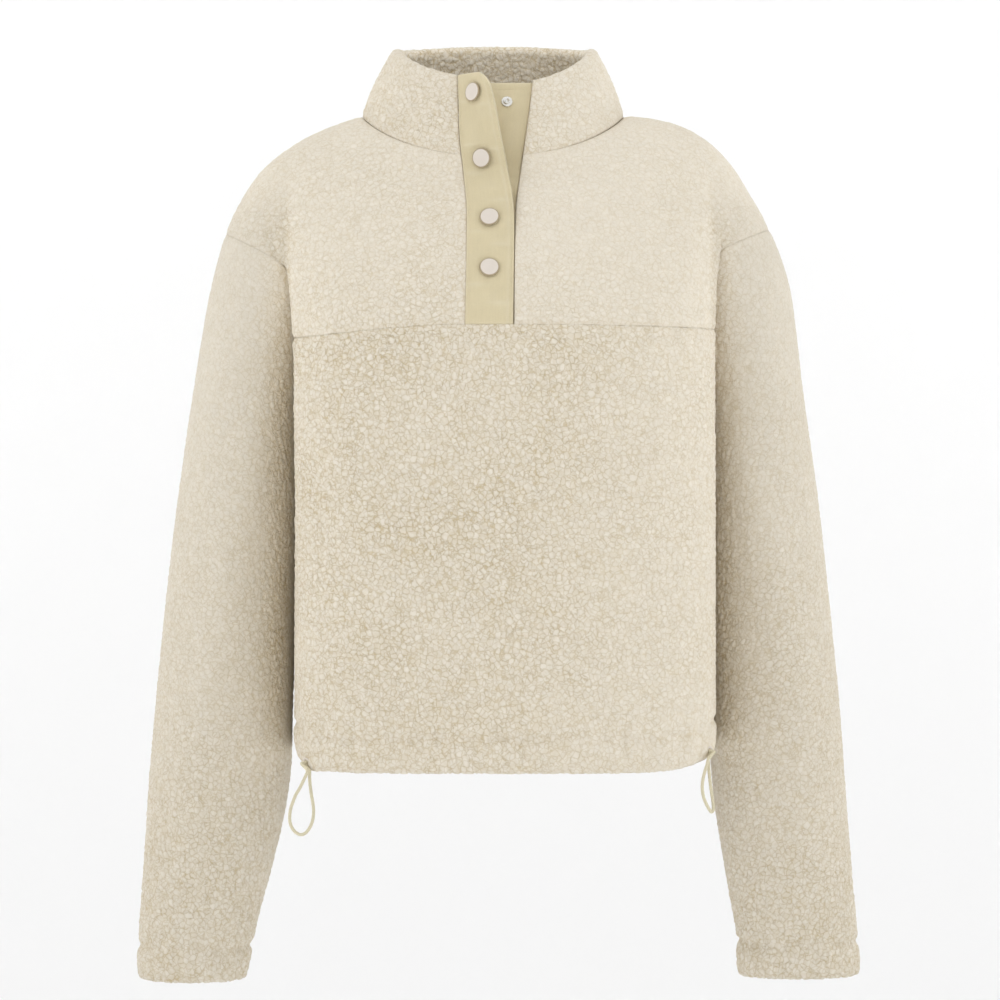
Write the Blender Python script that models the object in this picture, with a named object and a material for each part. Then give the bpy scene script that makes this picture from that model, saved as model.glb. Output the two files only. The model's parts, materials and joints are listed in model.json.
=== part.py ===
# Half-snap pullover of sherpa fleece, hollow, in the form it has when worn.
# X is to the right in the front view, Y to the back, Z up. Zero is the neck base at shoulder height.

import math

import bpy
import numpy as np

# Cloth and trim, in metres
SHERPA_WALL = 0.004
HEM_WALL = 0.0065
COLLAR_WALL = 0.0110
TWILL_WALL = 0.0022
SEAM_GAP = 0.0003
HEM_HEIGHT = 0.025
CUFF_HEIGHT = 0.027
STITCH_GROOVE = 0.0012
CHANNEL_BULGE = 0.0012

# Placket and snaps
BAND_WIDTH = 0.036
UNDER_WIDTH = 0.033
UNDER_DROP = 0.0040
BAND_TOP = 0.0335
UNDER_TOP = 0.0277
CAP_RADIUS = 0.0075
CAP_RISE = 0.0020
CAP_FROM_EDGE = 0.0175
CAP_HEIGHTS = (0.0179, -0.033, -0.080, -0.119)
STUD_RADIUS = 0.0043
STUD_RISE = 0.0024
SNAP_TANGENT_STEP = 0.002
STUD_FROM_EDGE = 0.0180
STUD_HEIGHT = 0.0118

# Drawcord and its eyelets
CORD_DIAMETER = 0.0025
CORD_POINT_STEP = 0.0035
EYELET_RADIUS = 0.0047
EYELET_HOLE = 0.0031
EYELET_RISE = 0.0012
EYELET_ABOVE_EDGE = 0.0052
EYELET_INWARD = 0.0015
EYELET_LIFT = 0.0008
CORD_APART = 0.0026
CORD_OUT = 0.0026
CORD_OVER = 0.0050

# Places on the garment
NECK_CENTRE_X = -0.0055
NECK_CENTRE_Y = 0.004
NECK_HALF_WIDTH = 0.1022
NECK_FRONT = 0.072
NECK_BACK = 0.056
NECK_ROUNDNESS = 2.2
NECK_FRONT_Z = -0.030
NECK_SIDE_Z = 0.0065
NECK_BACK_Z = 0.014
COLLAR_CENTRE_X = -0.0043
COLLAR_HALF_WIDTH = 0.0775
COLLAR_FRONT = 0.053
COLLAR_BACK = 0.050
COLLAR_FRONT_Z = {"left": 0.0335, "right": 0.0285}
COLLAR_SIDE_Z = 0.0612
COLLAR_BACK_Z = 0.0670
COLLAR_BULGE = 0.0025
ARM_CENTRE_Y = 0.005
ARM_QUARTER = 0.055
SHOULDER_TIP_Z = {"left": -0.0860, "right": -0.0825}
UNDERARM_Z = -0.205
ARMHOLE_SLOPE = {"left": 0.044, "right": 0.0360}
UNDERARM_DIP = 0.003
CHEST_ROW_Z = -0.075
CHEST_ROW_BACK_Z = -0.068
YOKE_SEAM_Z = -0.162
CHEST_LINE_Z = -0.198
YOKE_SEAM_STEP = 10
HEM_FRONT_Z = -0.4980
HEM_SIDE_Z = {"left": -0.4865, "right": -0.4830}
HEM_BACK_Z = -0.4975
CUFF_Z = {"left": -0.6665, "right": -0.6635}
SIDE_CLEARANCE = 0.0055
CORNER = 0.93
CORNER_REACH = 0.20
SEAM_REACH = 0.45
CORNER_LIFT = 0.012
SEAM_LIFT = {"left": 0.0065, "right": 0.0099}
SEAM_LIFT_REACH = 0.25
CORNER_DROP = {"left": 0.10, "right": 0.65}
CORNER_FLAT = 6
ARM_BLEND = 0.012
OVER_ARM_MARGIN = 0.004
ARM_RISE = 0.7
ARM_RISE_START = 0.35
END_ON_ARM = 0.65
CORNER_CROWD = 0.35

# Seams: panels lean alike unless they fold sharply, and folds fade over some rows and columns
CREASE_COSINE = 0.70
CREASE_SPAN = 0.25
FOLD_FADE = 2.0
ABOVE_HEM_STITCH = 0.028
ABOVE_CUFF_STITCH = 0.018

# Grid counts
FRONT_COLUMNS = 6
SIDE_COLUMNS = 7
PLACKET_COLUMNS = 3
SHOULDER_ROWS = 6
ARMHOLE_STEPS = 12
COLLAR_ROWS = 4
BAND_ROWS = 24
BAND_COLUMNS = 4


# Short tables with a row for each height
def table(names, *rows):
    return {name: np.array(column, float) for name, column in zip(names.split(), zip(*rows))}


TORSO = table(
    "z front back width front_power back_power shift",
    (0.020, 0.062, 0.054, 0.176, 2.5, 2.5, -0.003),
    (-0.030, 0.068, 0.084, 0.183, 2.6, 2.6, 0.000),
    (-0.060, 0.083, 0.099, 0.186, 2.7, 2.8, 0.000),
    (-0.090, 0.100, 0.109, 0.182, 2.8, 3.2, 0.001),
    (-0.120, 0.115, 0.115, 0.176, 3.0, 3.7, 0.002),
    (-0.157, 0.127, 0.117, 0.172, 3.1, 4.0, 0.003),
    (-0.190, 0.132, 0.115, 0.170, 3.2, 4.0, 0.0035),
    (-0.250, 0.131, 0.109, 0.169, 3.4, 3.8, 0.004),
    (-0.350, 0.124, 0.105, 0.168, 3.8, 3.4, 0.0045),
    (-0.450, 0.119, 0.108, 0.166, 4.1, 3.2, 0.005),
    (-0.505, 0.116, 0.111, 0.162, 4.1, 3.2, 0.006),
)
SHOULDER = table(
    "z left right",
    (0.0065, 0.1077, 0.0967),
    (0.0048, 0.1130, 0.1120),
    (0.0015, 0.1200, 0.1250),
    (-0.0047, 0.1365, 0.1427),
    (-0.0125, 0.1505, 0.1565),
    (-0.0280, 0.1727, 0.1755),
    (-0.0437, 0.1895, 0.1875),
    (-0.0593, 0.2005, 0.1970),
    (-0.0749, 0.2095, 0.2055),
    (-0.0870, 0.2145, 0.2125),
)
ARM = table(
    "z outer_left inner_left outer_right inner_right depth",
    (-0.045, 0.1930, 0.108, 0.1880, 0.108, 0.050),
    (-0.087, 0.2145, 0.1135, 0.2125, 0.1135, 0.060),
    (-0.100, 0.2190, 0.1180, 0.2190, 0.1180, 0.061),
    (-0.137, 0.2270, 0.1310, 0.2272, 0.1310, 0.062),
    (-0.205, 0.2385, 0.1480, 0.2358, 0.1490, 0.062),
    (-0.293, 0.2512, 0.1545, 0.2480, 0.1560, 0.061),
    (-0.371, 0.2605, 0.1590, 0.2566, 0.1595, 0.058),
    (-0.449, 0.2683, 0.1620, 0.2644, 0.1640, 0.053),
    (-0.512, 0.2738, 0.1645, 0.2690, 0.1660, 0.048),
    (-0.574, 0.2777, 0.1770, 0.2738, 0.1747, 0.043),
    (-0.636, 0.2816, 0.1934, 0.2790, 0.1849, 0.038),
    (-0.669, 0.2815, 0.1995, 0.2808, 0.1865, 0.036),
)
PLACKET = table(
    "z upper under swing",
    (0.0300, -0.0330, 0.0253, 52.0),
    (0.0135, -0.0323, 0.0235, 43.0),
    (-0.0165, -0.0312, 0.0195, 30.0),
    (-0.0450, -0.0280, 0.0155, 19.0),
    (-0.0690, -0.0256, 0.0124, 9.0),
    (-0.1000, -0.0253, 0.0114, 0.5),
    (-0.1630, -0.0262, 0.0107, 0.0),
)
# Soft folds that stand out of a panel: their middle, their lean from the vertical, and their reach
FOLDS = table(
    "face x z lean length width depth",
    (-1, -0.105, -0.300, -14, 0.120, 0.022, 0.0030),
    (-1, -0.045, -0.380, 10, 0.110, 0.026, 0.0026),
    (-1, 0.035, -0.330, -8, 0.130, 0.028, 0.0024),
    (-1, 0.105, -0.290, 16, 0.120, 0.022, 0.0030),
    (-1, 0.080, -0.420, -20, 0.070, 0.020, 0.0024),
    (-1, -0.115, -0.430, 18, 0.060, 0.018, 0.0024),
    (-1, -0.070, -0.182, 84, 0.040, 0.007, 0.0022),
    (-1, 0.065, -0.180, 95, 0.045, 0.007, 0.0022),
    (-1, -0.205, -0.330, 12, 0.110, 0.016, 0.0035),
    (-1, -0.230, -0.500, 8, 0.090, 0.016, 0.0030),
    (-1, 0.210, -0.360, -12, 0.110, 0.016, 0.0035),
    (-1, 0.232, -0.520, -6, 0.080, 0.016, 0.0030),
    (1, -0.090, -0.260, 12, 0.110, 0.026, 0.0032),
    (1, 0.075, -0.310, -14, 0.120, 0.026, 0.0032),
    (1, 0.000, -0.400, 6, 0.090, 0.030, 0.0026),
    (1, -0.215, -0.380, 10, 0.100, 0.018, 0.0032),
    (1, 0.215, -0.380, -10, 0.100, 0.018, 0.0032),
)
# Routes of the drawcord loops from an eyelet's middle, by hand: to the side, to the front and up, in mm
LOOP_LEFT = (
    (-0.6, 8.2, -5.3), (-2.8, 7.8, -11.4), (-6.3, 7.0, -18.6), (-9.2, 6.3, -23.5), (-11.4, 5.7, -28.8),
    (-13.2, 5.1, -34.1), (-14.0, 4.6, -39.4), (-13.8, 4.2, -44.7), (-12.0, 4.0, -49.4), (-8.9, 3.9, -52.8),
    (-5.3, 3.8, -54.1), (-1.4, 3.8, -52.2), (2.1, 3.8, -46.8), (3.8, 3.8, -40.2), (3.8, 3.9, -32.8),
    (2.4, 4.1, -24.0), (1.4, 4.3, -16.7), (1.0, 4.6, -10.6), (0.8, 4.9, -5.3),
)
LOOP_RIGHT = (
    (0.6, 8.4, -5.0), (-0.6, 8.6, -9.5), (-2.2, 8.8, -14.5), (-3.6, 8.9, -20.0), (-4.2, 8.8, -26.5),
    (-3.4, 8.3, -33.0), (-1.4, 7.4, -38.6), (1.0, 6.4, -43.0), (3.0, 5.2, -45.4), (4.4, 4.2, -43.6),
    (4.2, 3.6, -38.0), (3.0, 3.5, -30.0), (2.0, 3.7, -22.5), (1.2, 4.1, -14.5), (0.8, 4.5, -8.5),
    (0.6, 4.7, -4.8),
)

# Turned trims: each ring of points as a share of the radius and a share of the rise
CAP_PROFILE = ((0, 0), (0.5, 0), (0.92, 0), (1, 0.5), (0.88, 0.85), (0.5, 1), (0, 1.05))
STUD_PROFILE = ((0, 0), (1, 0), (1, 0.33), (0.62, 0.42), (0.58, 1), (0.34, 1), (0, 0.7))
# Eyelet: share of the way from its hole to its rim, and share of the rise
EYELET_PROFILE = ((0, 0), (1, 0), (1, 0.5), (0.6, 1), (0.2, 1), (0, 0.5))

FACES = {"front": -1.0, "back": 1.0}
SIDES = {"left": -1.0, "right": 1.0}


# Smooth curve through a table's column
def read(t, name, z):
    heights = t["z"][::-1]
    values = t[name][::-1]
    slopes = np.gradient(values, heights)
    z = np.clip(z, heights[0], heights[-1])
    k = np.clip(np.searchsorted(heights, z) - 1, 0, len(heights) - 2)
    step = heights[k + 1] - heights[k]
    s = (z - heights[k]) / step
    return (
        values[k] * (1 + 2 * s) * (1 - s) ** 2
        + slopes[k] * step * s * (1 - s) ** 2
        + values[k + 1] * s * s * (3 - 2 * s)
        + slopes[k + 1] * step * s * s * (s - 1)
    )


def ease(t):
    t = np.clip(t, 0.0, 1.0)
    return t * t * (3 - 2 * t)


def blend(a, b, t):
    return a + (b - a) * t


def stack(x, y, z):
    return np.stack(np.broadcast_arrays(x, y, z), axis=-1).astype(float)


def along(points):
    steps = np.linalg.norm(np.diff(points, axis=0), axis=1)
    total = np.concatenate([[0.0], np.cumsum(steps)])
    return total / total[-1]


def resample(points, shares):
    own = along(points)
    return np.stack([np.interp(shares, own, points[:, k]) for k in range(3)], axis=1)


# Outward depth of the torso at x from its middle
def torso_depth(face, x, z):
    depth = read(TORSO, face, z)
    n = read(TORSO, face + "_power", z)
    share = np.clip(np.abs(x) / read(TORSO, "width", z), 0.0, 1.0)
    return depth * (1 - share**n) ** (1 / n)


# Centre and half sizes of the sleeve's oval at a height, on the mirrored side
def arm_oval(side, z):
    outer = read(ARM, "outer_" + side, z)
    inner = read(ARM, "inner_" + side, z)
    return (outer + inner) / 2, (outer - inner) / 2, read(ARM, "depth", z)


def arm_point(side, face, angle, z):
    middle, half, depth = arm_oval(side, z)
    x = middle + half * np.cos(angle)
    y = ARM_CENTRE_Y + FACES[face] * depth * np.sin(angle)
    return stack(SIDES[side] * x, y, z)


# Height of the armhole seam round the sleeve: 0 is the outside, pi the underarm
def armhole_z(side, angle):
    share = (1 - np.cos(angle)) / 2
    tip = SHOULDER_TIP_Z[side]
    slope = ARMHOLE_SLOPE[side]
    return tip - slope * share - (tip - slope - UNDERARM_Z) * share**6


def soft_max(a, b, reach):
    return np.maximum(a, b) + np.maximum(reach - np.abs(a - b), 0.0) ** 2 / (4 * reach)


# Cubic curve from the torso's front corner back to the seam, in the plan
def corner_curve(corner, heading, end, inward, dip, t):
    span = np.linalg.norm(end - corner, axis=-1, keepdims=True)
    first = corner + heading * span * CORNER_REACH
    second = end - inward * span * SEAM_REACH - (dip, 0.0)
    t = t[:, None]
    return (
        corner * (1 - t) ** 3
        + 3 * first * t * (1 - t) ** 2
        + 3 * second * t * t * (1 - t)
        + end * t**3
    )


# One row of a body panel, from its middle edge out to the armhole or the side seam
def panel_row(side, face, start_x, middle_z, end_z, angle, columns=(FRONT_COLUMNS, SIDE_COLUMNS)):
    sign = SIDES[side]
    out = FACES[face]
    t_front = np.linspace(0, 1, columns[0] + 1)
    t_side = np.linspace(0, 1, columns[1] + 1)[1:]
    if angle is None:
        low = (UNDERARM_Z - end_z) / (UNDERARM_Z - HEM_SIDE_Z[side])
        rise = blend(t_side**2, 1 - (1 - t_side) ** 3, low)
        corner_z = blend(middle_z, end_z, CORNER_DROP[side])
        z_front = blend(middle_z, corner_z, t_front**CORNER_FLAT)
    else:
        seam_angle = math.pi * YOKE_SEAM_STEP / ARMHOLE_STEPS
        corner_z = end_z + CORNER_LIFT * (1 - float(ease(angle / seam_angle)))
        if face == "front":
            corner_z += SEAM_LIFT[side] * math.exp(-(((angle - seam_angle) / SEAM_LIFT_REACH) ** 2))
        z_front = blend(middle_z, corner_z, ease(t_front))
        rise = t_side**2
    z_side = blend(corner_z, end_z, rise)
    start = sign * start_x(z_front)
    arm_y = out * ARM_CENTRE_Y

    def shape(x, z, over_arm):
        depth = torso_depth(face, x - sign * read(TORSO, "shift", z), z)
        if not over_arm:
            return depth
        middle, half, reach = arm_oval(side, z)
        inside = 1 - ((x - middle) / half) ** 2
        arm = arm_y + reach * np.sqrt(np.maximum(inside, 0)) - 0.2 * np.maximum(-inside, 0)
        return soft_max(depth, arm, ARM_BLEND)

    if angle is not None:
        bulge = ARM_RISE * ARM_QUARTER * (math.pi / 2 - angle) * (1 - float(ease(angle - ARM_RISE_START)))
        z_side = z_side + max(bulge, 0.0) * t_side**2 * (1 - t_side)
    corner_x = sign * read(TORSO, "shift", z_front) + CORNER * read(TORSO, "width", z_front)
    middle, half, reach = arm_oval(side, z_side)
    if angle is None:
        drop = UNDERARM_Z - end_z
        end_x = middle - half - SIDE_CLEARANCE * (1 - math.exp(-drop / 0.01))
        end = stack(end_x, arm_y, 0.0)[:, :2]
        lean = 0.0
    else:
        end = stack(middle + half * math.cos(angle), arm_y + reach * math.sin(angle), 0.0)[:, :2]
        lean = 0.5 * (math.pi - angle) * min(1.0, math.pi - angle, max(0.0, angle - 1.0))
    over_arm = angle is not None and end[-1, 0] > corner_x[-1] + OVER_ARM_MARGIN
    x_front = blend(start, corner_x, blend(t_front, np.sin(t_front * math.pi / 2), CORNER_CROWD))
    y_front = shape(x_front, z_front, over_arm)
    if over_arm:
        first = np.arccos(np.clip((corner_x[-1] - middle) / half, -1, 1))
        turn = blend(first, angle, t_side)
        x_side = middle + half * np.cos(turn)
        y_arm = arm_y + reach * np.sin(turn)
        y_side = blend(shape(x_side, z_side, True), y_arm, ease((t_side - END_ON_ARM) / (1 - END_ON_ARM)))
    else:
        width = read(TORSO, "width", z_side)
        power = read(TORSO, face + "_power", z_side)
        corner_side = sign * read(TORSO, "shift", z_side) + CORNER * width
        corner = stack(corner_side, shape(corner_side, z_side, False), 0.0)[:, :2]
        slope = CORNER ** (power - 1) * (1 - CORNER**power) ** (1 / power - 1)
        slope = slope * read(TORSO, face, z_side) / width
        heading = stack(np.ones_like(slope), -slope, 0.0)[:, :2]
        heading = heading / np.linalg.norm(heading, axis=1, keepdims=True)
        inward = np.array([-math.sin(lean), -math.cos(lean)])
        dip = 0.0 if angle is None else UNDERARM_DIP * float(ease(angle / math.pi))
        curve = corner_curve(corner, heading, end, inward, dip, t_side)
        x_side, y_side = curve[:, 0], curve[:, 1]
    front = stack(sign * x_front, out * y_front, z_front)
    return np.concatenate([front, stack(sign * x_side, out * y_side, z_side)])


# Oval of the neck in the plan: 0 is the front middle, pi the back middle
def neck_curve(side, start_x, face, count=200):
    sign = SIDES[side]
    offset = sign * (start_x - NECK_CENTRE_X)
    power = 2 / NECK_ROUNDNESS
    first = math.asin((max(0.0, offset) / NECK_HALF_WIDTH) ** (1 / power))
    turn = np.linspace(first, math.pi / 2, count)
    depth = NECK_FRONT if face == "front" else NECK_BACK
    middle_z = NECK_FRONT_Z if face == "front" else NECK_BACK_Z
    x = NECK_CENTRE_X + sign * NECK_HALF_WIDTH * np.sin(turn) ** power
    y = NECK_CENTRE_Y + FACES[face] * depth * np.abs(np.cos(turn)) ** power
    z = blend(NECK_SIDE_Z, middle_z, np.abs(np.cos(turn) / math.cos(first)) ** 1.5)
    return stack(x, y, z)


# Shoulder line from the neck out to the tip of the dropped shoulder
def shoulder_line(side, shares):
    z = np.linspace(NECK_SIDE_Z, SHOULDER_TIP_Z[side], 120)
    x = SIDES[side] * read(SHOULDER, side, z)
    y = blend(NECK_CENTRE_Y, ARM_CENTRE_Y, ease(np.linspace(0, 1, 120)))
    line = stack(x, y, z)
    start = neck_curve(side, NECK_CENTRE_X, "front")[-1]
    end = arm_point(side, "front", 0.0, SHOULDER_TIP_Z[side])
    share = along(line)[:, None]
    line = line + (start - line[0]) * (1 - share) + (end - line[-1]) * share
    return resample(line, shares)


# Shoulder part of a panel: a patch between neck, chest row, middle edge and shoulder line
def shoulder_patch(side, face, start_x, chest_row, rows=SHOULDER_ROWS):
    shares = along(chest_row)
    neck_z = NECK_FRONT_Z if face == "front" else NECK_BACK_Z
    neck = resample(neck_curve(side, start_x(neck_z), face), shares)
    v = np.linspace(0, 1, rows + 1)
    z = blend(neck[0, 2], chest_row[0, 2], v)
    if face == "front":
        middle = stack(*placket_edge(start_x, z), z)
    else:
        x = start_x(z)
        middle = stack(x, torso_depth("back", x - read(TORSO, "shift", z), z), z)
    middle = middle + (neck[0] - middle[0]) * (1 - v[:, None]) + (chest_row[0] - middle[-1]) * v[:, None]
    ridge = shoulder_line(side, v)
    u = ease(shares)[None, :, None]
    v = v[:, None, None]
    base = blend(neck[None], chest_row[None], v)
    middle_part = middle[:, None] - blend(neck[:1], chest_row[:1], v)
    ridge_part = ridge[:, None] - blend(neck[-1:], chest_row[-1:], v)
    return base + (1 - u) * middle_part + u * ridge_part


def upper_edge(z):
    return read(PLACKET, "upper", z)


def under_edge(z):
    return read(PLACKET, "under", z)


# Middle of the back, which eases from the neck's middle to the torso's
def back_middle(z):
    return blend(NECK_CENTRE_X, read(TORSO, "shift", z), ease((NECK_BACK_Z - z) / 0.15))


# Half of a panel, from the neck to the hem, as rows of points
def half_panel(side, face, start_x):
    angles = np.linspace(0, math.pi, ARMHOLE_STEPS + 1)
    chest_z = CHEST_ROW_Z if face == "front" else CHEST_ROW_BACK_Z
    hem_z = HEM_FRONT_Z if face == "front" else HEM_BACK_Z
    seam = YOKE_SEAM_STEP / ARMHOLE_STEPS
    steps = np.linspace(0, 1, ARMHOLE_STEPS + 1)
    middle_z = np.interp(steps, (0, seam, 1), (chest_z, YOKE_SEAM_Z, CHEST_LINE_Z))
    rows = [panel_row(side, face, start_x, m, armhole_z(side, a), a) for m, a in zip(middle_z, angles)]
    for share in body_shares():
        end_z = blend(UNDERARM_Z, HEM_SIDE_Z[side], share)
        rows.append(panel_row(side, face, start_x, blend(CHEST_LINE_Z, hem_z, share), end_z, None))
    top = shoulder_patch(side, face, start_x, rows[0])
    return np.concatenate([top[:-1], np.array(rows)])


# Rows below the underarm as shares of the way to the hem, the last few round the hem channel
def body_shares():
    height = UNDERARM_Z - HEM_FRONT_Z
    channel = 1 - HEM_HEIGHT / height
    return [*np.linspace(0, channel - ABOVE_HEM_STITCH, 8)[1:], channel, 1 - 0.5 * (1 - channel), 1.0]


# Rows of a sleeve from the armhole to the cuff, likewise
def sleeve_shares(side):
    height = UNDERARM_Z - CUFF_Z[side]
    channel = 1 - CUFF_HEIGHT / height
    above = np.linspace(0, channel - ABOVE_CUFF_STITCH, 14)[1:]
    return [0.0, *above, channel, 1 - 0.5 * (1 - channel), 1.0]


def sleeve_grid(side):
    angles = np.linspace(0, 2 * math.pi, 2 * ARMHOLE_STEPS + 1)[:-1]
    rows = []
    for share in sleeve_shares(side):
        z = blend(armhole_z(side, angles), CUFF_Z[side], share)
        middle, half, depth = arm_oval(side, z)
        x = SIDES[side] * (middle + half * np.cos(angles))
        rows.append(stack(x, ARM_CENTRE_Y - depth * np.sin(angles), z))
    return np.array(rows)


# Outline of the collar's folded top, from its left front edge round the back to its right one
def collar_top(shares):
    turn = np.linspace(-math.pi, math.pi, 801)
    power = 2 / NECK_ROUNDNESS
    side = np.abs(np.sin(turn)) ** power
    deep = np.abs(np.cos(turn)) ** power
    back = np.cos(turn) > 0
    x = COLLAR_CENTRE_X + COLLAR_HALF_WIDTH * np.sign(np.sin(turn)) * side
    y = NECK_CENTRE_Y + np.where(back, COLLAR_BACK, -COLLAR_FRONT) * deep
    front_z = np.where(turn < 0, COLLAR_FRONT_Z["left"], COLLAR_FRONT_Z["right"])
    end_z = np.where(back, COLLAR_BACK_Z, front_z)
    z = COLLAR_SIDE_Z + (end_z - COLLAR_SIDE_Z) * deep**1.6
    ring = stack(x, y, z)
    front_left = (turn < -math.pi / 2) & (x > upper_edge(BAND_TOP))
    front_right = (turn > math.pi / 2) & (x < under_edge(UNDER_TOP))
    return resample(ring[~(front_left | front_right)], shares)


def collar_grid(base):
    shares = along(base)
    top = collar_top(shares)
    centre = np.array([COLLAR_CENTRE_X, NECK_CENTRE_Y, 0.0])
    outward = (base + top) / 2 - centre
    outward[:, 2] = 0
    outward = outward / np.linalg.norm(outward, axis=1, keepdims=True)
    rows = []
    for v in np.linspace(0, 1, COLLAR_ROWS + 1):
        row = blend(base, top, v * 0.93) + outward * COLLAR_BULGE * math.sin(math.pi * v)
        rows.append(fit_ends(row, shares))
    rows.append(fit_ends(blend(base, top, 0.985), shares) - outward * 0.0008)
    rows.append(fit_ends(top, shares) - outward * 0.0030)
    return np.array(rows)


# Brings the two ends of a collar row onto the lines where the placket bands are sewn on
def fit_ends(row, shares):
    row = row.copy()
    for end, edge, near in ((0, upper_edge, shares), (-1, under_edge, 1 - shares)):
        x, y = placket_edge(edge, row[end, 2])
        move = np.array([x, y, row[end, 2]]) - row[end]
        row = row + move * (1 - ease(near / 0.2))[:, None]
    return row


# Front edge of a yoke and then of the collar, where a placket band is sewn on
def placket_edge(edge, z):
    x = edge(z)
    chest = -torso_depth("front", x - read(TORSO, "shift", z), z)
    deep_base = oval_depth(edge(NECK_FRONT_Z) - NECK_CENTRE_X, NECK_HALF_WIDTH)
    deep_top = oval_depth(x - COLLAR_CENTRE_X, COLLAR_HALF_WIDTH)
    low = NECK_CENTRE_Y - NECK_FRONT * deep_base
    high = NECK_CENTRE_Y - COLLAR_FRONT * deep_top
    share = (z - NECK_FRONT_Z) / (COLLAR_FRONT_Z["left"] - NECK_FRONT_Z)
    collar = blend(low, high, share) - COLLAR_BULGE * np.sin(math.pi * np.clip(share, 0, 1))
    return x, np.where(z > NECK_FRONT_Z, collar, blend(low, chest, ease((NECK_FRONT_Z - z) / 0.03)))


def oval_depth(x, half_width):
    return (1 - np.abs(x / half_width) ** NECK_ROUNDNESS) ** (1 / NECK_ROUNDNESS)


def band_point(s, z):
    x, y = placket_edge(upper_edge, z)
    swing = np.radians(read(PLACKET, "swing", z))
    return stack(x + s * np.cos(swing), y - s * np.sin(swing), z)


def under_point(s, z):
    x, y = placket_edge(under_edge, z)
    return stack(x - s, y + UNDER_DROP, z)


def band_grid(point, width, top):
    z = np.linspace(top, YOKE_SEAM_Z, BAND_ROWS + 1)[:, None]
    return point(np.linspace(0, width, BAND_COLUMNS + 1)[None, :], z)


# Folds stand out along the surface and fade before its seams
def add_folds(grid, normals, face, ring=False):
    x = grid[..., 0]
    z = grid[..., 2]
    height = np.zeros(x.shape)
    for k in range(len(FOLDS["x"])):
        if FOLDS["face"][k] != face:
            continue
        lean = math.radians(FOLDS["lean"][k])
        dx = x - FOLDS["x"][k]
        dz = z - FOLDS["z"][k]
        down = dx * math.sin(lean) + dz * math.cos(lean)
        across = dx * math.cos(lean) - dz * math.sin(lean)
        shape = np.exp(-((across / FOLDS["width"][k]) ** 2) - (down / FOLDS["length"][k]) ** 4)
        height = height + FOLDS["depth"][k] * shape
    rows = np.minimum(np.arange(x.shape[0]), np.arange(x.shape[0])[::-1])
    window = ease(rows / FOLD_FADE)[:, None]
    if not ring:
        columns = np.minimum(np.arange(x.shape[1]), np.arange(x.shape[1])[::-1])
        window = window * ease(columns / FOLD_FADE)[None, :]
    return grid + normals * (height * window)[..., None]


# Channel of a hem or cuff: a stitched groove above, a soft roll below
def add_channel(grid, normals):
    grid = grid.copy()
    grid[-3] -= normals[-3] * STITCH_GROOVE
    grid[-2] += normals[-2] * CHANNEL_BULGE
    grid[-1] -= normals[-1] * CHANNEL_BULGE
    return grid


# At a side seam both panels face straight out to the side
def level_side_seams(normals):
    for column in (0, -1):
        sideways = np.sign(normals[:, column, 0])
        normals[:, column] = 0
        normals[:, column, 0] = sideways


def surface_normals(grid, ring):
    if ring:
        wide = np.concatenate([grid[:, -1:], grid, grid[:, :1]], axis=1)
        across = (wide[:, 2:] - wide[:, :-2]) / 2
    else:
        across = np.gradient(grid, axis=1)
    down = np.gradient(grid, axis=0)
    normals = np.cross(across, down)
    return normals / np.maximum(np.linalg.norm(normals, axis=-1, keepdims=True), 1e-12)


# Turns a grid's normals away from a point inside it at each height
def outward_normals(grid, ring, centre):
    normals = surface_normals(grid, ring)
    middle = grid.copy()
    middle[..., 0] = centre[0]
    middle[..., 1] = centre[1]
    facing = ((grid - middle)[..., :2] * normals[..., :2]).sum()
    return normals if facing > 0 else -normals


def border(grid, ring):
    rows, columns = grid.shape[:2]
    places = [(i, j) for i in (0, rows - 1) for j in range(columns)]
    if not ring:
        places += [(i, j) for i in range(rows) for j in (0, columns - 1)]
    return sorted(set(places))


def key(point):
    return tuple(int(round(value * 20000)) for value in point)


# Points of all panels that lie together on a seam
def seam_points(panels):
    seams = {}
    for name, panel in panels.items():
        for i, j in border(panel["grid"], panel["ring"]):
            seams.setdefault(key(panel["grid"][i, j]), []).append((name, i, j))
    return seams.values()


# Panels that meet at a seam lean their walls the same way there, unless they fold sharply away from it,
# and draw back from each other by half of the seam's gap
def share_seams(panels):
    for panel in panels.values():
        panel["lean"] = panel["normals"].copy()
        panel["shift"] = draw_back(panel)
    for places in seam_points(panels):
        shifts = np.array([panels[name]["shift"][i, j] for name, i, j in places])
        for (name, i, j), shift in zip(places, shifts):
            own = panels[name]["normals"][i, j]
            lean = own.copy()
            crease = 0.0
            for other, k, m in places:
                if other != name:
                    theirs = panels[other]["normals"][k, m]
                    weight = float(ease((own @ theirs - CREASE_COSINE) / CREASE_SPAN))
                    crease = max(crease, 1 - weight)
                    lean = lean + weight * theirs
            panels[name]["lean"][i, j] = lean / np.linalg.norm(lean)
            if len(places) > 1:
                shift = shift - shifts.mean(axis=0)
                shift = shift / max(np.linalg.norm(shift), 1e-12) - own * crease
            length = SEAM_GAP / 2 * (1 + crease)
            panels[name]["shift"][i, j] = shift / np.linalg.norm(shift) * length
    for panel in panels.values():
        for column in panel["upright"]:
            lean = panel["lean"][:, column]
            lean[:, 0] = 0
            lean /= np.linalg.norm(lean, axis=1, keepdims=True)


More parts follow.
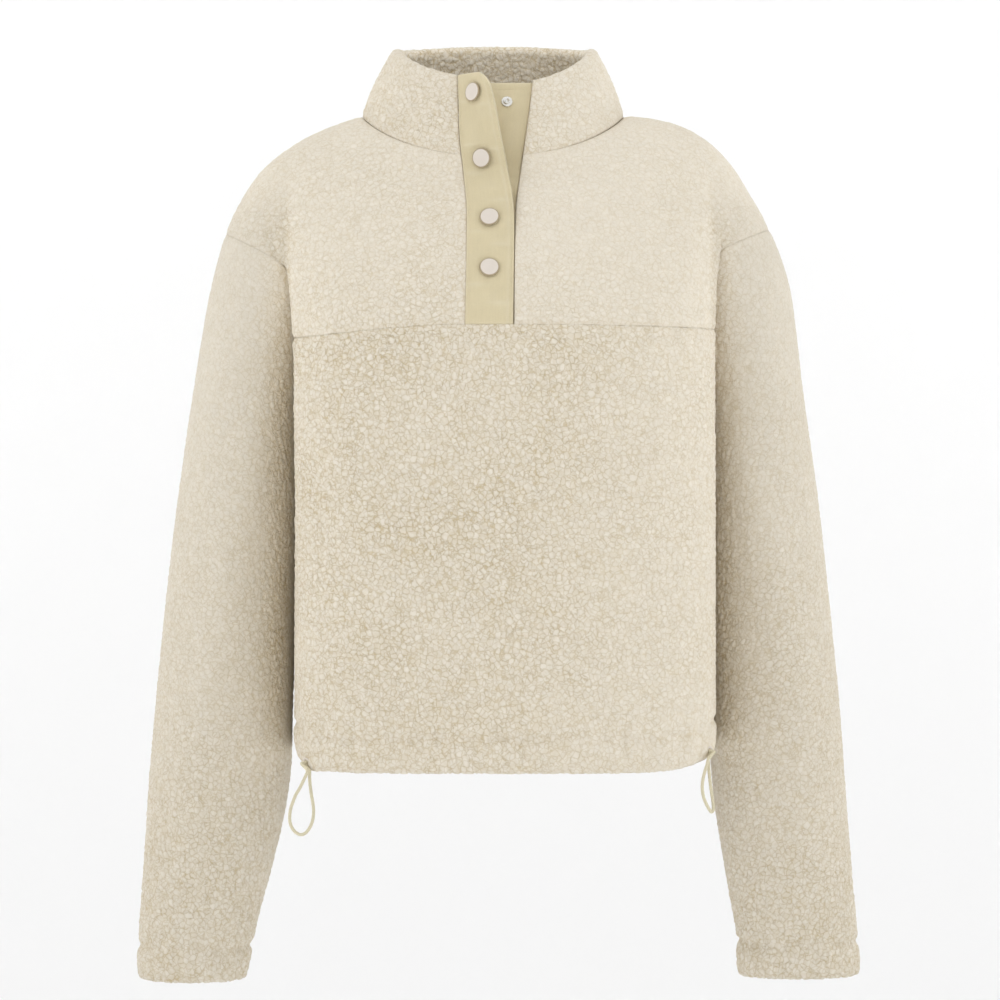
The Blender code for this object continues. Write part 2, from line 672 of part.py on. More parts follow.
# Directions from each edge of a panel into it, along the cloth
def draw_back(panel):
    grid = panel["grid"]
    ring = panel["ring"]
    shift = np.zeros(grid.shape)
    edges = [(0, 1, 0), (-1, -2, 0)] + ([] if ring else [(0, 1, 1), (-1, -2, 1)])
    for edge, inner, axis in edges:
        line = np.take(grid, edge, axis=axis)
        towards = np.take(grid, inner, axis=axis) - line
        if ring:
            tangent = np.roll(line, -1, axis=0) - np.roll(line, 1, axis=0)
        else:
            tangent = np.gradient(line, axis=0)
        tangent = tangent / np.maximum(np.linalg.norm(tangent, axis=1, keepdims=True), 1e-12)
        towards = towards - tangent * (towards * tangent).sum(axis=1, keepdims=True)
        towards = towards / np.maximum(np.linalg.norm(towards, axis=1, keepdims=True), 1e-12)
        if axis == 0:
            shift[edge] += towards
        else:
            shift[:, edge] += towards
    return shift


def material(name, colour, roughness, metallic=0.0):
    made = bpy.data.materials.new(name)
    made.use_nodes = True
    shader = made.node_tree.nodes["Principled BSDF"]
    shader.inputs["Base Color"].default_value = (*colour, 1.0)
    shader.inputs["Roughness"].default_value = roughness
    shader.inputs["Metallic"].default_value = metallic
    return made


# Closed mesh object with its faces turned outwards
def solid(name, points, faces, finish):
    points = np.asarray(points, float)
    corners = np.array([[f[0], f[k], f[k + 1]] for f in faces for k in range(1, len(f) - 1)])
    a, b, c = points[corners[:, 0]], points[corners[:, 1]], points[corners[:, 2]]
    if (a * np.cross(b, c)).sum() < 0:
        faces = [face[::-1] for face in faces]
    mesh = bpy.data.meshes.new(name)
    mesh.from_pydata([tuple(point) for point in points], [], faces)
    mesh.materials.append(finish)
    mesh.update()
    mesh.shade_smooth()
    mesh.set_sharp_from_angle(angle=math.radians(50))
    made = bpy.data.objects.new(name, mesh)
    bpy.context.scene.collection.objects.link(made)
    return made


# Wall between an outer grid and an inner one, closed round its edges
def wall(name, outer, inner, ring, finish):
    rows, columns = outer.shape[:2]
    offset = rows * columns
    spans = columns if ring else columns - 1
    points = np.concatenate([outer.reshape(-1, 3), inner.reshape(-1, 3)])

    def at(i, j):
        return i * columns + j % columns

    faces = []
    for i in range(rows - 1):
        for j in range(spans):
            quad = [at(i, j), at(i, j + 1), at(i + 1, j + 1), at(i + 1, j)]
            faces.append(quad)
            faces.append([offset + k for k in quad[::-1]])
    for i, turned in ((0, False), (rows - 1, True)):
        for j in range(spans):
            quad = [at(i, j + 1), at(i, j), offset + at(i, j), offset + at(i, j + 1)]
            faces.append(quad[::-1] if turned else quad)
    if not ring:
        for j, turned in ((0, True), (columns - 1, False)):
            for i in range(rows - 1):
                quad = [at(i + 1, j), at(i, j), offset + at(i, j), offset + at(i + 1, j)]
                faces.append(quad[::-1] if turned else quad)
    return solid(name, points, faces, finish)


def build_panel(name, panel):
    outer = panel["grid"] + panel["shift"]
    lean = panel["lean"]
    square = np.maximum((lean * panel["normals"]).sum(axis=-1), 0.75)
    inner = outer - lean * (panel["thick"] / square)[..., None]
    return wall(name, outer, inner, panel["ring"], panel["finish"])


# Round trim laid on a panel: rings of points on its surface, moved out
def trim(name, place, rings, finish, count=16):
    turn = np.linspace(0, 2 * math.pi, count, endpoint=False)
    points = []
    for radius, rise in rings:
        point, normal = place(radius * np.cos(turn), radius * np.sin(turn))
        points.append(point + normal * rise)
    faces = []
    closed = rings[0][0] > 0
    spans = len(rings) if closed else len(rings) - 1
    for i in range(spans):
        low = i * count
        high = ((i + 1) % len(rings)) * count
        for j in range(count):
            k = (j + 1) % count
            faces.append([low + j, low + k, high + k, high + j])
    points = np.concatenate(points)
    if closed:
        return solid(name, points, faces, finish)
    return solid(name, *weld_poles(points, faces, count, len(rings)), finish)


# Rings of no radius become one point each
def weld_poles(points, faces, count, rings):
    last = (rings - 1) * count
    target = list(range(len(points)))
    for j in range(count):
        target[j] = 0
        target[last + j] = last
    used = sorted(set(target))
    number = {old: new for new, old in enumerate(used)}
    made = []
    for face in faces:
        ring = []
        for k in face:
            if number[target[k]] not in ring:
                ring.append(number[target[k]])
        if len(ring) > 2:
            made.append(ring)
    return points[used], made


# A flat place on a band, as a function of steps across it and up it, clear of the band within a radius
def on_band(point, s, z, radius):
    step = SNAP_TANGENT_STEP
    middle = point(s, z)
    side = point(s + step, z) - point(s - step, z)
    side = side / np.linalg.norm(side)
    up = point(s, z + step) - point(s, z - step)
    up = up - side * (up @ side)
    up = up / np.linalg.norm(up)
    normal = np.cross(side, up)
    normal = normal if normal[1] < 0 else -normal
    turn = np.linspace(0, 2 * math.pi, 24, endpoint=False)
    under = [point(s + r * np.cos(turn), z + r * np.sin(turn)) for r in (radius, radius * 0.6)]
    lift = max(0.0, float(((np.concatenate(under) - middle) @ normal).max()))
    middle = middle + normal * lift

    def place(across, rise):
        return middle + across[:, None] * side + rise[:, None] * up, np.tile(normal, (len(across), 1))

    return place


def snap_caps(finish):
    rings = [(CAP_RADIUS * share, SEAM_GAP + CAP_RISE * rise) for share, rise in CAP_PROFILE]
    for number, z in enumerate(CAP_HEIGHTS, 1):
        trim(f"snap_cap_{number}", on_band(band_point, CAP_FROM_EDGE, z, CAP_RADIUS), rings, finish)


def snap_stud(finish):
    rings = [(STUD_RADIUS * share, SEAM_GAP + STUD_RISE * rise) for share, rise in STUD_PROFILE]
    trim("snap_stud", on_band(under_point, STUD_FROM_EDGE, STUD_HEIGHT, STUD_RADIUS), rings, finish)


# Middle of an eyelet on the hem's corner, with the directions along the hem, up and outward
def eyelet_frame(grid, normals, column):
    low = grid[-1, column]
    high = grid[-2, column]
    up = (high - low) / np.linalg.norm(high - low)
    normal = normals[-2, column]
    side = np.cross(up, normal)
    side = side / np.linalg.norm(side)
    normal = np.cross(side, up)
    inward = side if side[0] * low[0] < 0 else -side
    return low + up * EYELET_ABOVE_EDGE + inward * EYELET_INWARD, side, up, normal


def cord_eyelet(name, frame, finish):
    middle, side, up, normal = frame

    def place(across, rise):
        return middle + across[:, None] * side + rise[:, None] * up, np.tile(normal, (len(across), 1))

    width = EYELET_RADIUS - EYELET_HOLE
    rings = [(EYELET_HOLE + width * s, EYELET_LIFT + EYELET_RISE * rise) for s, rise in EYELET_PROFILE]
    return trim(name, place, rings, finish, 14)


# Cord through hand-set points, sampled from a smooth curve
def cord_route(frame, loop):
    middle, _, up, normal = frame
    start = middle + normal * (EYELET_LIFT + CORD_DIAMETER * 0.15)
    apart = up * CORD_APART / 2
    points = [start + apart + normal * step for step in (0, CORD_OUT, CORD_OVER)]
    points += [middle + millimetres(dx, -dy, dz) for dx, dy, dz in loop]
    points += [start - apart + normal * CORD_OUT, start - apart]
    return smooth_line(np.array(points))


def millimetres(x, y, z):
    return np.array((x, y, z)) / 1000


def smooth_line(points):
    ends = np.concatenate([2 * points[:1] - points[1:2], points, 2 * points[-1:] - points[-2:-1]])
    t = np.linspace(0, 1, 12, endpoint=False)[:, None]
    pieces = []
    for a, b, c, d in zip(ends, ends[1:], ends[2:], ends[3:]):
        pieces.append(
            b
            + 0.5 * (c - a) * t
            + 0.5 * (2 * a - 5 * b + 4 * c - d) * t**2
            + 0.5 * (3 * b - a - 3 * c + d) * t**3
        )
    fine = np.concatenate([*pieces, points[-1:]])
    length = np.linalg.norm(np.diff(fine, axis=0), axis=1).sum()
    return resample(fine, np.linspace(0, 1, max(12, round(length / CORD_POINT_STEP)) + 1))


def drawcord(name, points, finish):
    curve = bpy.data.curves.new(name, "CURVE")
    curve.dimensions = "3D"
    curve.bevel_depth = CORD_DIAMETER / 2
    curve.bevel_resolution = 2
    curve.use_fill_caps = True
    curve.materials.append(finish)
    spline = curve.splines.new("POLY")
    spline.points.add(len(points) - 1)
    for place, point in zip(spline.points, points):
        place.co = (*point, 1.0)
    made = bpy.data.objects.new(name, curve)
    bpy.context.scene.collection.objects.link(made)
    return made


def make_panel(grid, centre, thick, finish, ring=False, face=None, channel=False, upright=()):
    normals = outward_normals(grid, ring, centre)
    if face is not None:
        if ring:
            front = add_folds(grid, normals, -1, True)
            back = add_folds(grid, normals, 1, True)
            grid = np.where(grid[..., 1:2] < ARM_CENTRE_Y, front, back)
        else:
            grid = add_folds(grid, normals, face)
    if channel:
        if not ring:
            level_side_seams(normals)
        grid = add_channel(grid, normals)
    normals = outward_normals(grid, ring, centre)
    thickness = np.full(grid.shape[:2], thick)
    if channel:
        thickness[-3:] = HEM_WALL
    made = {"grid": grid, "normals": normals, "ring": ring, "thick": thickness, "finish": finish}
    return {**made, "upright": upright}


def body_panels(sherpa):
    centre = (0.0, 0.0)
    seam_row = SHOULDER_ROWS + YOKE_SEAM_STEP
    halves = {
        ("left", "front"): half_panel("left", "front", upper_edge),
        ("right", "front"): half_panel("right", "front", under_edge),
        ("left", "back"): half_panel("left", "back", back_middle),
        ("right", "back"): half_panel("right", "back", back_middle),
    }
    left, right = halves["left", "front"], halves["right", "front"]
    share = np.linspace(0, 1, PLACKET_COLUMNS + 1)[1:-1][None, :, None]
    between = blend(left[seam_row:, :1], right[seam_row:, :1], share)
    lower = np.concatenate([left[seam_row:, ::-1], between, right[seam_row:]], axis=1)
    back = np.concatenate([halves["left", "back"][:, ::-1], halves["right", "back"][:, 1:]], axis=1)
    yokes = [left[: seam_row + 1], right[: seam_row + 1]]
    panels = {
        "front_yoke_left": make_panel(yokes[0], centre, SHERPA_WALL, sherpa, face=-1, upright=(0,)),
        "front_yoke_right": make_panel(yokes[1], centre, SHERPA_WALL, sherpa, face=-1, upright=(0,)),
        "front_body": make_panel(lower, centre, SHERPA_WALL, sherpa, face=-1, channel=True),
        "back_body": make_panel(back, centre, SHERPA_WALL, sherpa, face=1, channel=True),
    }
    base = np.concatenate([left[0], back[0, 1:-1], right[0, ::-1]])
    neck = (COLLAR_CENTRE_X, NECK_CENTRE_Y)
    collar = make_panel(collar_grid(base), neck, COLLAR_WALL, sherpa, upright=(0, -1))
    collar["thick"][0] = SHERPA_WALL
    collar["thick"][-2] = COLLAR_WALL * 0.80
    collar["thick"][-1] = COLLAR_WALL * 0.35
    panels["collar"] = collar
    return panels


def main():
    for old in list(bpy.data.objects):
        bpy.data.objects.remove(old)
    sherpa = material("cream sherpa fleece", (0.76, 0.70, 0.58), 0.95)
    twill = material("khaki cotton twill", (0.69, 0.61, 0.43), 0.85)
    enamel = material("cream enamel", (0.80, 0.74, 0.67), 0.35)
    metal = material("bare nickel", (0.72, 0.72, 0.70), 0.25, 1.0)
    braid = material("khaki elastic cord", (0.58, 0.52, 0.36), 0.8)

    panels = body_panels(sherpa)
    for side in SIDES:
        grid = sleeve_grid(side)
        middle, _, _ = arm_oval(side, -0.35)
        centre = (SIDES[side] * middle, ARM_CENTRE_Y)
        panel = make_panel(grid, centre, SHERPA_WALL, sherpa, ring=True, face=-1, channel=True)
        panels["sleeve_" + side] = panel
    share_seams(panels)
    for name, panel in panels.items():
        build_panel(name, panel)

    for name, point, width, top in (
        ("placket_upper", band_point, BAND_WIDTH, BAND_TOP),
        ("placket_under", under_point, UNDER_WIDTH, UNDER_TOP),
    ):
        grid = band_grid(point, width, top)
        panel = make_panel(grid, (0.0, 0.05), TWILL_WALL, twill)
        share_seams({name: panel})
        build_panel(name, panel)
    snap_caps(enamel)
    snap_stud(metal)

    lower = panels["front_body"]
    corner = {"left": SIDE_COLUMNS, "right": lower["grid"].shape[1] - 1 - SIDE_COLUMNS}
    for side, loop in (("left", LOOP_LEFT), ("right", LOOP_RIGHT)):
        frame = eyelet_frame(lower["grid"], lower["normals"], corner[side])
        cord_eyelet("cord_eyelet_" + side, frame, enamel)
        drawcord("drawcord_" + side, cord_route(frame, loop), braid)


main()
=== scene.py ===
import json
import math

import bmesh
import bpy
import numpy as np
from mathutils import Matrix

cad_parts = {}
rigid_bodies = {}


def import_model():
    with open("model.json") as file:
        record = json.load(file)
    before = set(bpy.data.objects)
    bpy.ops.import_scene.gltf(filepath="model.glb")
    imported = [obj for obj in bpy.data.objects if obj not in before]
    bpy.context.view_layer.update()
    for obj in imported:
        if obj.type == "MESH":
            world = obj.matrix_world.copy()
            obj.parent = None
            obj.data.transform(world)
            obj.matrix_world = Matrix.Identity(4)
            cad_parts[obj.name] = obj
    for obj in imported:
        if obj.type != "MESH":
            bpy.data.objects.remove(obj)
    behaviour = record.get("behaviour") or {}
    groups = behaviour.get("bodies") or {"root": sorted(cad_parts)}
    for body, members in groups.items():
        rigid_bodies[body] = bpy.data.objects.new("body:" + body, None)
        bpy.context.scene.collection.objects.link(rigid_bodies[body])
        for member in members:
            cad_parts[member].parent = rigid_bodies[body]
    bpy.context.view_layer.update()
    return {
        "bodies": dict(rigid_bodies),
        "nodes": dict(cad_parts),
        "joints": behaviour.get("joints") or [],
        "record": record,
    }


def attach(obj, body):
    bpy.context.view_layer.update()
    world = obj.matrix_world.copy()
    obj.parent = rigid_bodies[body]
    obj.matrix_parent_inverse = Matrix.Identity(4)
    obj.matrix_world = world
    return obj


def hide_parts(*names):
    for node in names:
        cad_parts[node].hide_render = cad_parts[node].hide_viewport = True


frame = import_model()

print("frame loaded:", len(frame["nodes"]), "solids")

sides = {"left": -1.0, "right": 1.0}
faces = {"front": -1.0, "back": 1.0}


# The camera stands level in front of the garment, and is made first
view = {"distance": 2.8, "height": -0.293, "lens": 129.2, "sensor": 36.0}


def makeCamera(v):  # a level camera on the garment's middle line, looking towards +Y
    data = bpy.data.cameras.new("frontCamera")
    data.lens = v["lens"]
    data.sensor_width = v["sensor"]
    camera = bpy.data.objects.new("frontCamera", data)
    camera.location = (0.0, -v["distance"], v["height"])
    camera.rotation_euler = (math.pi / 2, 0.0, 0.0)
    bpy.context.scene.collection.objects.link(camera)
    bpy.context.scene.camera = camera


makeCamera(view)


# A table is written as rows under named columns, and kept as one array for each column
def columns(names, *rows):
    return {name: np.array(column, float) for name, column in zip(names.split(), zip(*rows))}


def ease(t):  # smooth step from 0 to 1
    t = np.clip(t, 0.0, 1.0)
    return t * t * (3 - 2 * t)


def blend(a, b, t):  # straight line from a at 0 to b at 1
    return a + (b - a) * t


def stack(x, y, z):  # points from three arrays of coordinates
    return np.stack(np.broadcast_arrays(x, y, z), axis=-1).astype(float)


def unit(v):  # a vector over its length
    return v / np.maximum(np.linalg.norm(v, axis=-1, keepdims=True), 1e-12)


def cubic(a, b, slopeA, slopeB, span, s):  # Hermite curve between a and b
    return (
        a * (1 + 2 * s) * (1 - s) ** 2
        + slopeA * span * s * (1 - s) ** 2
        + b * s * s * (3 - 2 * s)
        + slopeB * span * s * s * (s - 1)
    )


def readTable(t, name, z):  # smooth curve through a column, by height
    heights = t["z"][::-1]
    values = t[name][::-1]
    slopes = np.gradient(values, heights)
    z = np.clip(z, heights[0], heights[-1])
    k = np.clip(np.searchsorted(heights, z) - 1, 0, len(heights) - 2)
    span = heights[k + 1] - heights[k]
    return cubic(values[k], values[k + 1], slopes[k], slopes[k + 1], span, (z - heights[k]) / span)


def arcShares(points):  # share of a line's length at each of its points
    steps = np.linalg.norm(np.diff(points, axis=0), axis=1)
    total = np.concatenate([[0.0], np.cumsum(steps)])
    return total / total[-1]


def resample(points, shares):  # points of a line at given shares of its length
    own = arcShares(points)
    return np.stack([np.interp(shares, own, points[:, k]) for k in range(3)], axis=1)


# Torso: half ovals front and back, with their roundness, at each height
torso = columns(
    "z front back width frontPower backPower shift",
    (0.020, 0.062, 0.054, 0.176, 2.5, 2.5, -0.003),
    (-0.030, 0.068, 0.084, 0.183, 2.6, 2.6, 0.000),
    (-0.060, 0.083, 0.099, 0.186, 2.7, 2.8, 0.000),
    (-0.090, 0.100, 0.109, 0.182, 2.8, 3.2, 0.001),
    (-0.120, 0.115, 0.115, 0.176, 3.0, 3.7, 0.002),
    (-0.157, 0.127, 0.117, 0.172, 3.1, 4.0, 0.003),
    (-0.190, 0.132, 0.115, 0.170, 3.2, 4.0, 0.0035),
    (-0.250, 0.131, 0.109, 0.169, 3.4, 3.8, 0.004),
    (-0.350, 0.124, 0.105, 0.168, 3.8, 3.4, 0.0045),
    (-0.450, 0.119, 0.108, 0.166, 4.1, 3.2, 0.005),
    (-0.505, 0.116, 0.111, 0.162, 4.1, 3.2, 0.006),
)
body = {
    "corner": 0.93,
    "cornerReach": 0.20,
    "seamReach": 0.45,
    "cornerLift": 0.012,
    "seamLift": {"left": 0.0065, "right": 0.0099},
    "seamLiftReach": 0.25,
    "cornerDrop": {"left": 0.10, "right": 0.65},
    "cornerFlat": 6,
    "crowd": 0.35,
    "armBlend": 0.012,
    "overArm": 0.004,
    "rise": 0.7,
    "riseStart": 0.35,
    "endOnArm": 0.65,
    "chestRow": {"front": -0.075, "back": -0.068},
    "yokeSeam": -0.162,
    "yokeStep": 10,
    "chestLine": -0.198,
    "hemMiddle": {"front": -0.4980, "back": -0.4975},
    "hemSide": {"left": -0.4865, "right": -0.4830},
    "hemHeight": 0.025,
    "aboveHem": 0.028,
    "sideClearance": 0.0055,
    "underarmDip": 0.003,
    "frontColumns": 6,
    "sideColumns": 7,
    "placketColumns": 3,
    "shoulderRows": 6,
    "steps": 12,
}
shoulder = columns(
    "z left right",
    (0.0065, 0.1077, 0.0967),
    (0.0048, 0.1130, 0.1120),
    (0.0015, 0.1200, 0.1250),
    (-0.0047, 0.1365, 0.1427),
    (-0.0125, 0.1505, 0.1565),
    (-0.0280, 0.1727, 0.1755),
    (-0.0437, 0.1895, 0.1875),
    (-0.0593, 0.2005, 0.1970),
    (-0.0749, 0.2095, 0.2055),
    (-0.0870, 0.2145, 0.2125),
)
sleeveOval = columns(
    "z outerLeft innerLeft outerRight innerRight depth",
    (-0.045, 0.1930, 0.108, 0.1880, 0.108, 0.050),
    (-0.087, 0.2145, 0.1135, 0.2125, 0.1135, 0.060),
    (-0.100, 0.2190, 0.1180, 0.2190, 0.1180, 0.061),
    (-0.137, 0.2270, 0.1310, 0.2272, 0.1310, 0.062),
    (-0.205, 0.2385, 0.1480, 0.2358, 0.1490, 0.062),
    (-0.293, 0.2512, 0.1545, 0.2480, 0.1560, 0.061),
    (-0.371, 0.2605, 0.1590, 0.2566, 0.1595, 0.058),
    (-0.449, 0.2683, 0.1620, 0.2644, 0.1640, 0.053),
    (-0.512, 0.2738, 0.1645, 0.2690, 0.1660, 0.048),
    (-0.574, 0.2777, 0.1770, 0.2738, 0.1747, 0.043),
    (-0.636, 0.2816, 0.1934, 0.2790, 0.1849, 0.038),
    (-0.669, 0.2815, 0.1995, 0.2808, 0.1865, 0.036),
)
sleeve = {
    "middleY": 0.005,
    "quarter": 0.055,
    "tip": {"left": -0.0860, "right": -0.0825},
    "underarm": -0.205,
    "slope": {"left": 0.044, "right": 0.036},
    "cuff": {"left": -0.6665, "right": -0.6635},
    "cuffHeight": 0.027,
    "aboveCuff": 0.018,
}
neck = {
    "x": -0.0055,
    "y": 0.004,
    "halfWidth": 0.1022,
    "reach": {"front": 0.072, "back": 0.056},
    "z": {"front": -0.030, "back": 0.014},
    "sideZ": 0.0065,
    "roundness": 2.2,
}
collar = {
    "x": -0.0043,
    "halfWidth": 0.0775,
    "front": 0.053,
    "back": 0.050,
    "frontZ": {"left": 0.0335, "right": 0.0285},
    "sideZ": 0.0612,
    "backZ": 0.0670,
    "bulge": 0.0025,
    "rows": 4,
    "wall": 0.0110,
}
placketLines = columns(
    "z upper under swing",
    (0.0300, -0.0330, 0.0253, 52.0),
    (0.0135, -0.0323, 0.0235, 43.0),
    (-0.0165, -0.0312, 0.0195, 30.0),
    (-0.0450, -0.0280, 0.0155, 19.0),
    (-0.0690, -0.0256, 0.0124, 9.0),
    (-0.1000, -0.0253, 0.0114, 0.5),
    (-0.1630, -0.0262, 0.0107, 0.0),
)
placket = {
    "width": 0.036,
    "underWidth": 0.033,
    "underDrop": 0.0040,
    "top": 0.0335,
    "underTop": 0.0277,
    "wall": 0.0022,
}


def torsoDepth(face, x, z):  # superellipse: how far the torso reaches out at x
    power = readTable(torso, face + "Power", z)
    share = np.clip(np.abs(x) / readTable(torso, "width", z), 0.0, 1.0)
    return readTable(torso, face, z) * (1 - share**power) ** (1 / power)


def armOval(side, z):  # middle, half width and depth of the sleeve's oval
    outer = readTable(sleeveOval, "outer" + side.title(), z)
    inner = readTable(sleeveOval, "inner" + side.title(), z)
    return (outer + inner) / 2, (outer - inner) / 2, readTable(sleeveOval, "depth", z)


def armholeZ(side, angle):  # the seam drops from the shoulder tip, at angle 0, to the underarm
    share = (1 - np.cos(angle)) / 2
    tip, slope = sleeve["tip"][side], sleeve["slope"][side]
    return tip - slope * share - (tip - slope - sleeve["underarm"]) * share**6


def softMax(a, b, reach):  # the larger value, raised by a parabola where the two are within reach
    return np.maximum(a, b) + np.maximum(reach - np.abs(a - b), 0.0) ** 2 / (4 * reach)


# Cubic curve in the plan, from the torso's front corner back to the seam
def cornerCurve(corner, heading, end, inward, dip, t):
    span = np.linalg.norm(end - corner, axis=-1, keepdims=True)
    first = corner + heading * span * body["cornerReach"]
    second = end - inward * span * body["seamReach"] - (dip, 0.0)
    t = t[:, None]
    return (
        corner * (1 - t) ** 3
        + 3 * first * t * (1 - t) ** 2
        + 3 * second * t * t * (1 - t)
        + end * t**3
    )


# One row of a body panel: along the torso's oval, then over or behind the sleeve to its seam
def panelRow(side, face, startX, middleZ, endZ, angle):
    sign = sides[side]
    out = faces[face]
    tFront = np.linspace(0, 1, body["frontColumns"] + 1)
    tSide = np.linspace(0, 1, body["sideColumns"] + 1)[1:]
    if angle is None:
        low = (sleeve["underarm"] - endZ) / (sleeve["underarm"] - body["hemSide"][side])
        rise = blend(tSide**2, 1 - (1 - tSide) ** 3, low)
        cornerZ = blend(middleZ, endZ, body["cornerDrop"][side])
        zFront = blend(middleZ, cornerZ, tFront ** body["cornerFlat"])
    else:
        seamAngle = math.pi * body["yokeStep"] / body["steps"]
        cornerZ = endZ + body["cornerLift"] * (1 - float(ease(angle / seamAngle)))
        if face == "front":
            away = (angle - seamAngle) / body["seamLiftReach"]
            cornerZ += body["seamLift"][side] * math.exp(-(away**2))
        zFront = blend(middleZ, cornerZ, ease(tFront))
        rise = tSide**2
    zSide = blend(cornerZ, endZ, rise)
    start = sign * startX(zFront)
    armY = out * sleeve["middleY"]

    def shape(x, z, overArm):
        depth = torsoDepth(face, x - sign * readTable(torso, "shift", z), z)
        if not overArm:
            return depth
        middle, half, reach = armOval(side, z)
        inside = 1 - ((x - middle) / half) ** 2
        arm = armY + reach * np.sqrt(np.maximum(inside, 0)) - 0.2 * np.maximum(-inside, 0)
        return softMax(depth, arm, body["armBlend"])

    if angle is not None:
        bulge = body["rise"] * sleeve["quarter"] * (math.pi / 2 - angle)
        bulge = bulge * (1 - float(ease(angle - body["riseStart"])))
        zSide = zSide + max(bulge, 0.0) * tSide**2 * (1 - tSide)
    cornerX = body["corner"] * readTable(torso, "width", zFront)
    cornerX = cornerX + sign * readTable(torso, "shift", zFront)
    middle, half, reach = armOval(side, zSide)
    if angle is None:
        drop = sleeve["underarm"] - endZ
        endX = middle - half - body["sideClearance"] * (1 - math.exp(-drop / 0.01))
        end = stack(endX, armY, 0.0)[:, :2]
        lean = 0.0
    else:
        end = stack(middle + half * math.cos(angle), armY + reach * math.sin(angle), 0.0)[:, :2]
        lean = 0.5 * (math.pi - angle) * min(1.0, math.pi - angle, max(0.0, angle - 1.0))
    overArm = angle is not None and end[-1, 0] > cornerX[-1] + body["overArm"]
    xFront = blend(start, cornerX, blend(tFront, np.sin(tFront * math.pi / 2), body["crowd"]))
    yFront = shape(xFront, zFront, overArm)
    if overArm:
        first = np.arccos(np.clip((cornerX[-1] - middle) / half, -1, 1))
        turn = blend(first, angle, tSide)
        xSide = middle + half * np.cos(turn)
        yArm = armY + reach * np.sin(turn)
        nearEnd = ease((tSide - body["endOnArm"]) / (1 - body["endOnArm"]))
        ySide = blend(shape(xSide, zSide, True), yArm, nearEnd)
    else:
        width = readTable(torso, "width", zSide)
        power = readTable(torso, face + "Power", zSide)
        cornerSide = sign * readTable(torso, "shift", zSide) + body["corner"] * width
        corner = stack(cornerSide, shape(cornerSide, zSide, False), 0.0)[:, :2]
        slope = body["corner"] ** (power - 1) * (1 - body["corner"] ** power) ** (1 / power - 1)
        slope = slope * readTable(torso, face, zSide) / width
        heading = unit(stack(np.ones_like(slope), -slope, 0.0)[:, :2])
        inward = np.array([-math.sin(lean), -math.cos(lean)])
        dip = 0.0 if angle is None else body["underarmDip"] * float(ease(angle / math.pi))
        curve = cornerCurve(corner, heading, end, inward, dip, tSide)
        xSide, ySide = curve[:, 0], curve[:, 1]
    front = stack(sign * xFront, out * yFront, zFront)
    return np.concatenate([front, stack(sign * xSide, out * ySide, zSide)])


# Neck seam: a superellipse in the plan that dips at the front
def neckCurve(side, startX, face, count=200):
    sign = sides[side]
    offset = sign * (startX - neck["x"])
    power = 2 / neck["roundness"]
    first = math.asin((max(0.0, offset) / neck["halfWidth"]) ** (1 / power))
    turn = np.linspace(first, math.pi / 2, count)
    x = neck["x"] + sign * neck["halfWidth"] * np.sin(turn) ** power
    y = neck["y"] + faces[face] * neck["reach"][face] * np.abs(np.cos(turn)) ** power
    z = blend(neck["sideZ"], neck["z"][face], np.abs(np.cos(turn) / math.cos(first)) ** 1.5)
    return stack(x, y, z)


def shoulderLine(side, shares):  # the shoulder seam, out to the tip of the dropped shoulder
    tip = sleeve["tip"][side]
    z = np.linspace(neck["sideZ"], tip, 120)
    y = blend(neck["y"], sleeve["middleY"], ease(np.linspace(0, 1, 120)))
    line = stack(sides[side] * readTable(shoulder, side, z), y, z)
    start = neckCurve(side, neck["x"], "front")[-1]
    middle, half, _ = armOval(side, tip)
    end = np.array([sides[side] * float(middle + half), sleeve["middleY"], tip])
    share = arcShares(line)[:, None]
    return resample(line + (start - line[0]) * (1 - share) + (end - line[-1]) * share, shares)


# Coons patch between neck, chest row, middle edge and shoulder line
def shoulderPatch(side, face, startX, chestRow):
    shares = arcShares(chestRow)
    neckLine = resample(neckCurve(side, startX(neck["z"][face]), face), shares)
    v = np.linspace(0, 1, body["shoulderRows"] + 1)
    z = blend(neckLine[0, 2], chestRow[0, 2], v)
    if face == "front":
        middle = stack(*placketEdge(startX, z), z)
    else:
        x = startX(z)
        middle = stack(x, torsoDepth("back", x - readTable(torso, "shift", z), z), z)
    middle = middle + (neckLine[0] - middle[0]) * (1 - v[:, None]) + (chestRow[0] - middle[-1]) * v[:, None]
    ridge = shoulderLine(side, v)
    u = ease(shares)[None, :, None]
    v = v[:, None, None]
    base = blend(neckLine[None], chestRow[None], v)
    middlePart = middle[:, None] - blend(neckLine[:1], chestRow[:1], v)
    ridgePart = ridge[:, None] - blend(neckLine[-1:], chestRow[-1:], v)
    return base + (1 - u) * middlePart + u * ridgePart


def upperEdge(z):  # sewn edge of the upper band at a height
    return readTable(placketLines, "upper", z)


def underEdge(z):  # sewn edge of the under band at a height
    return readTable(placketLines, "under", z)


def backMiddle(z):  # middle of the back, from the neck's own middle to the torso's
    return blend(neck["x"], readTable(torso, "shift", z), ease((neck["z"]["back"] - z) / 0.15))


def channelShares(height, channel, above, rows):  # rows down a panel, the last few round its turned hem
    share = 1 - channel / height
    return [*np.linspace(0, share - above, rows)[1:], share, 1 - 0.5 * (1 - share), 1.0]


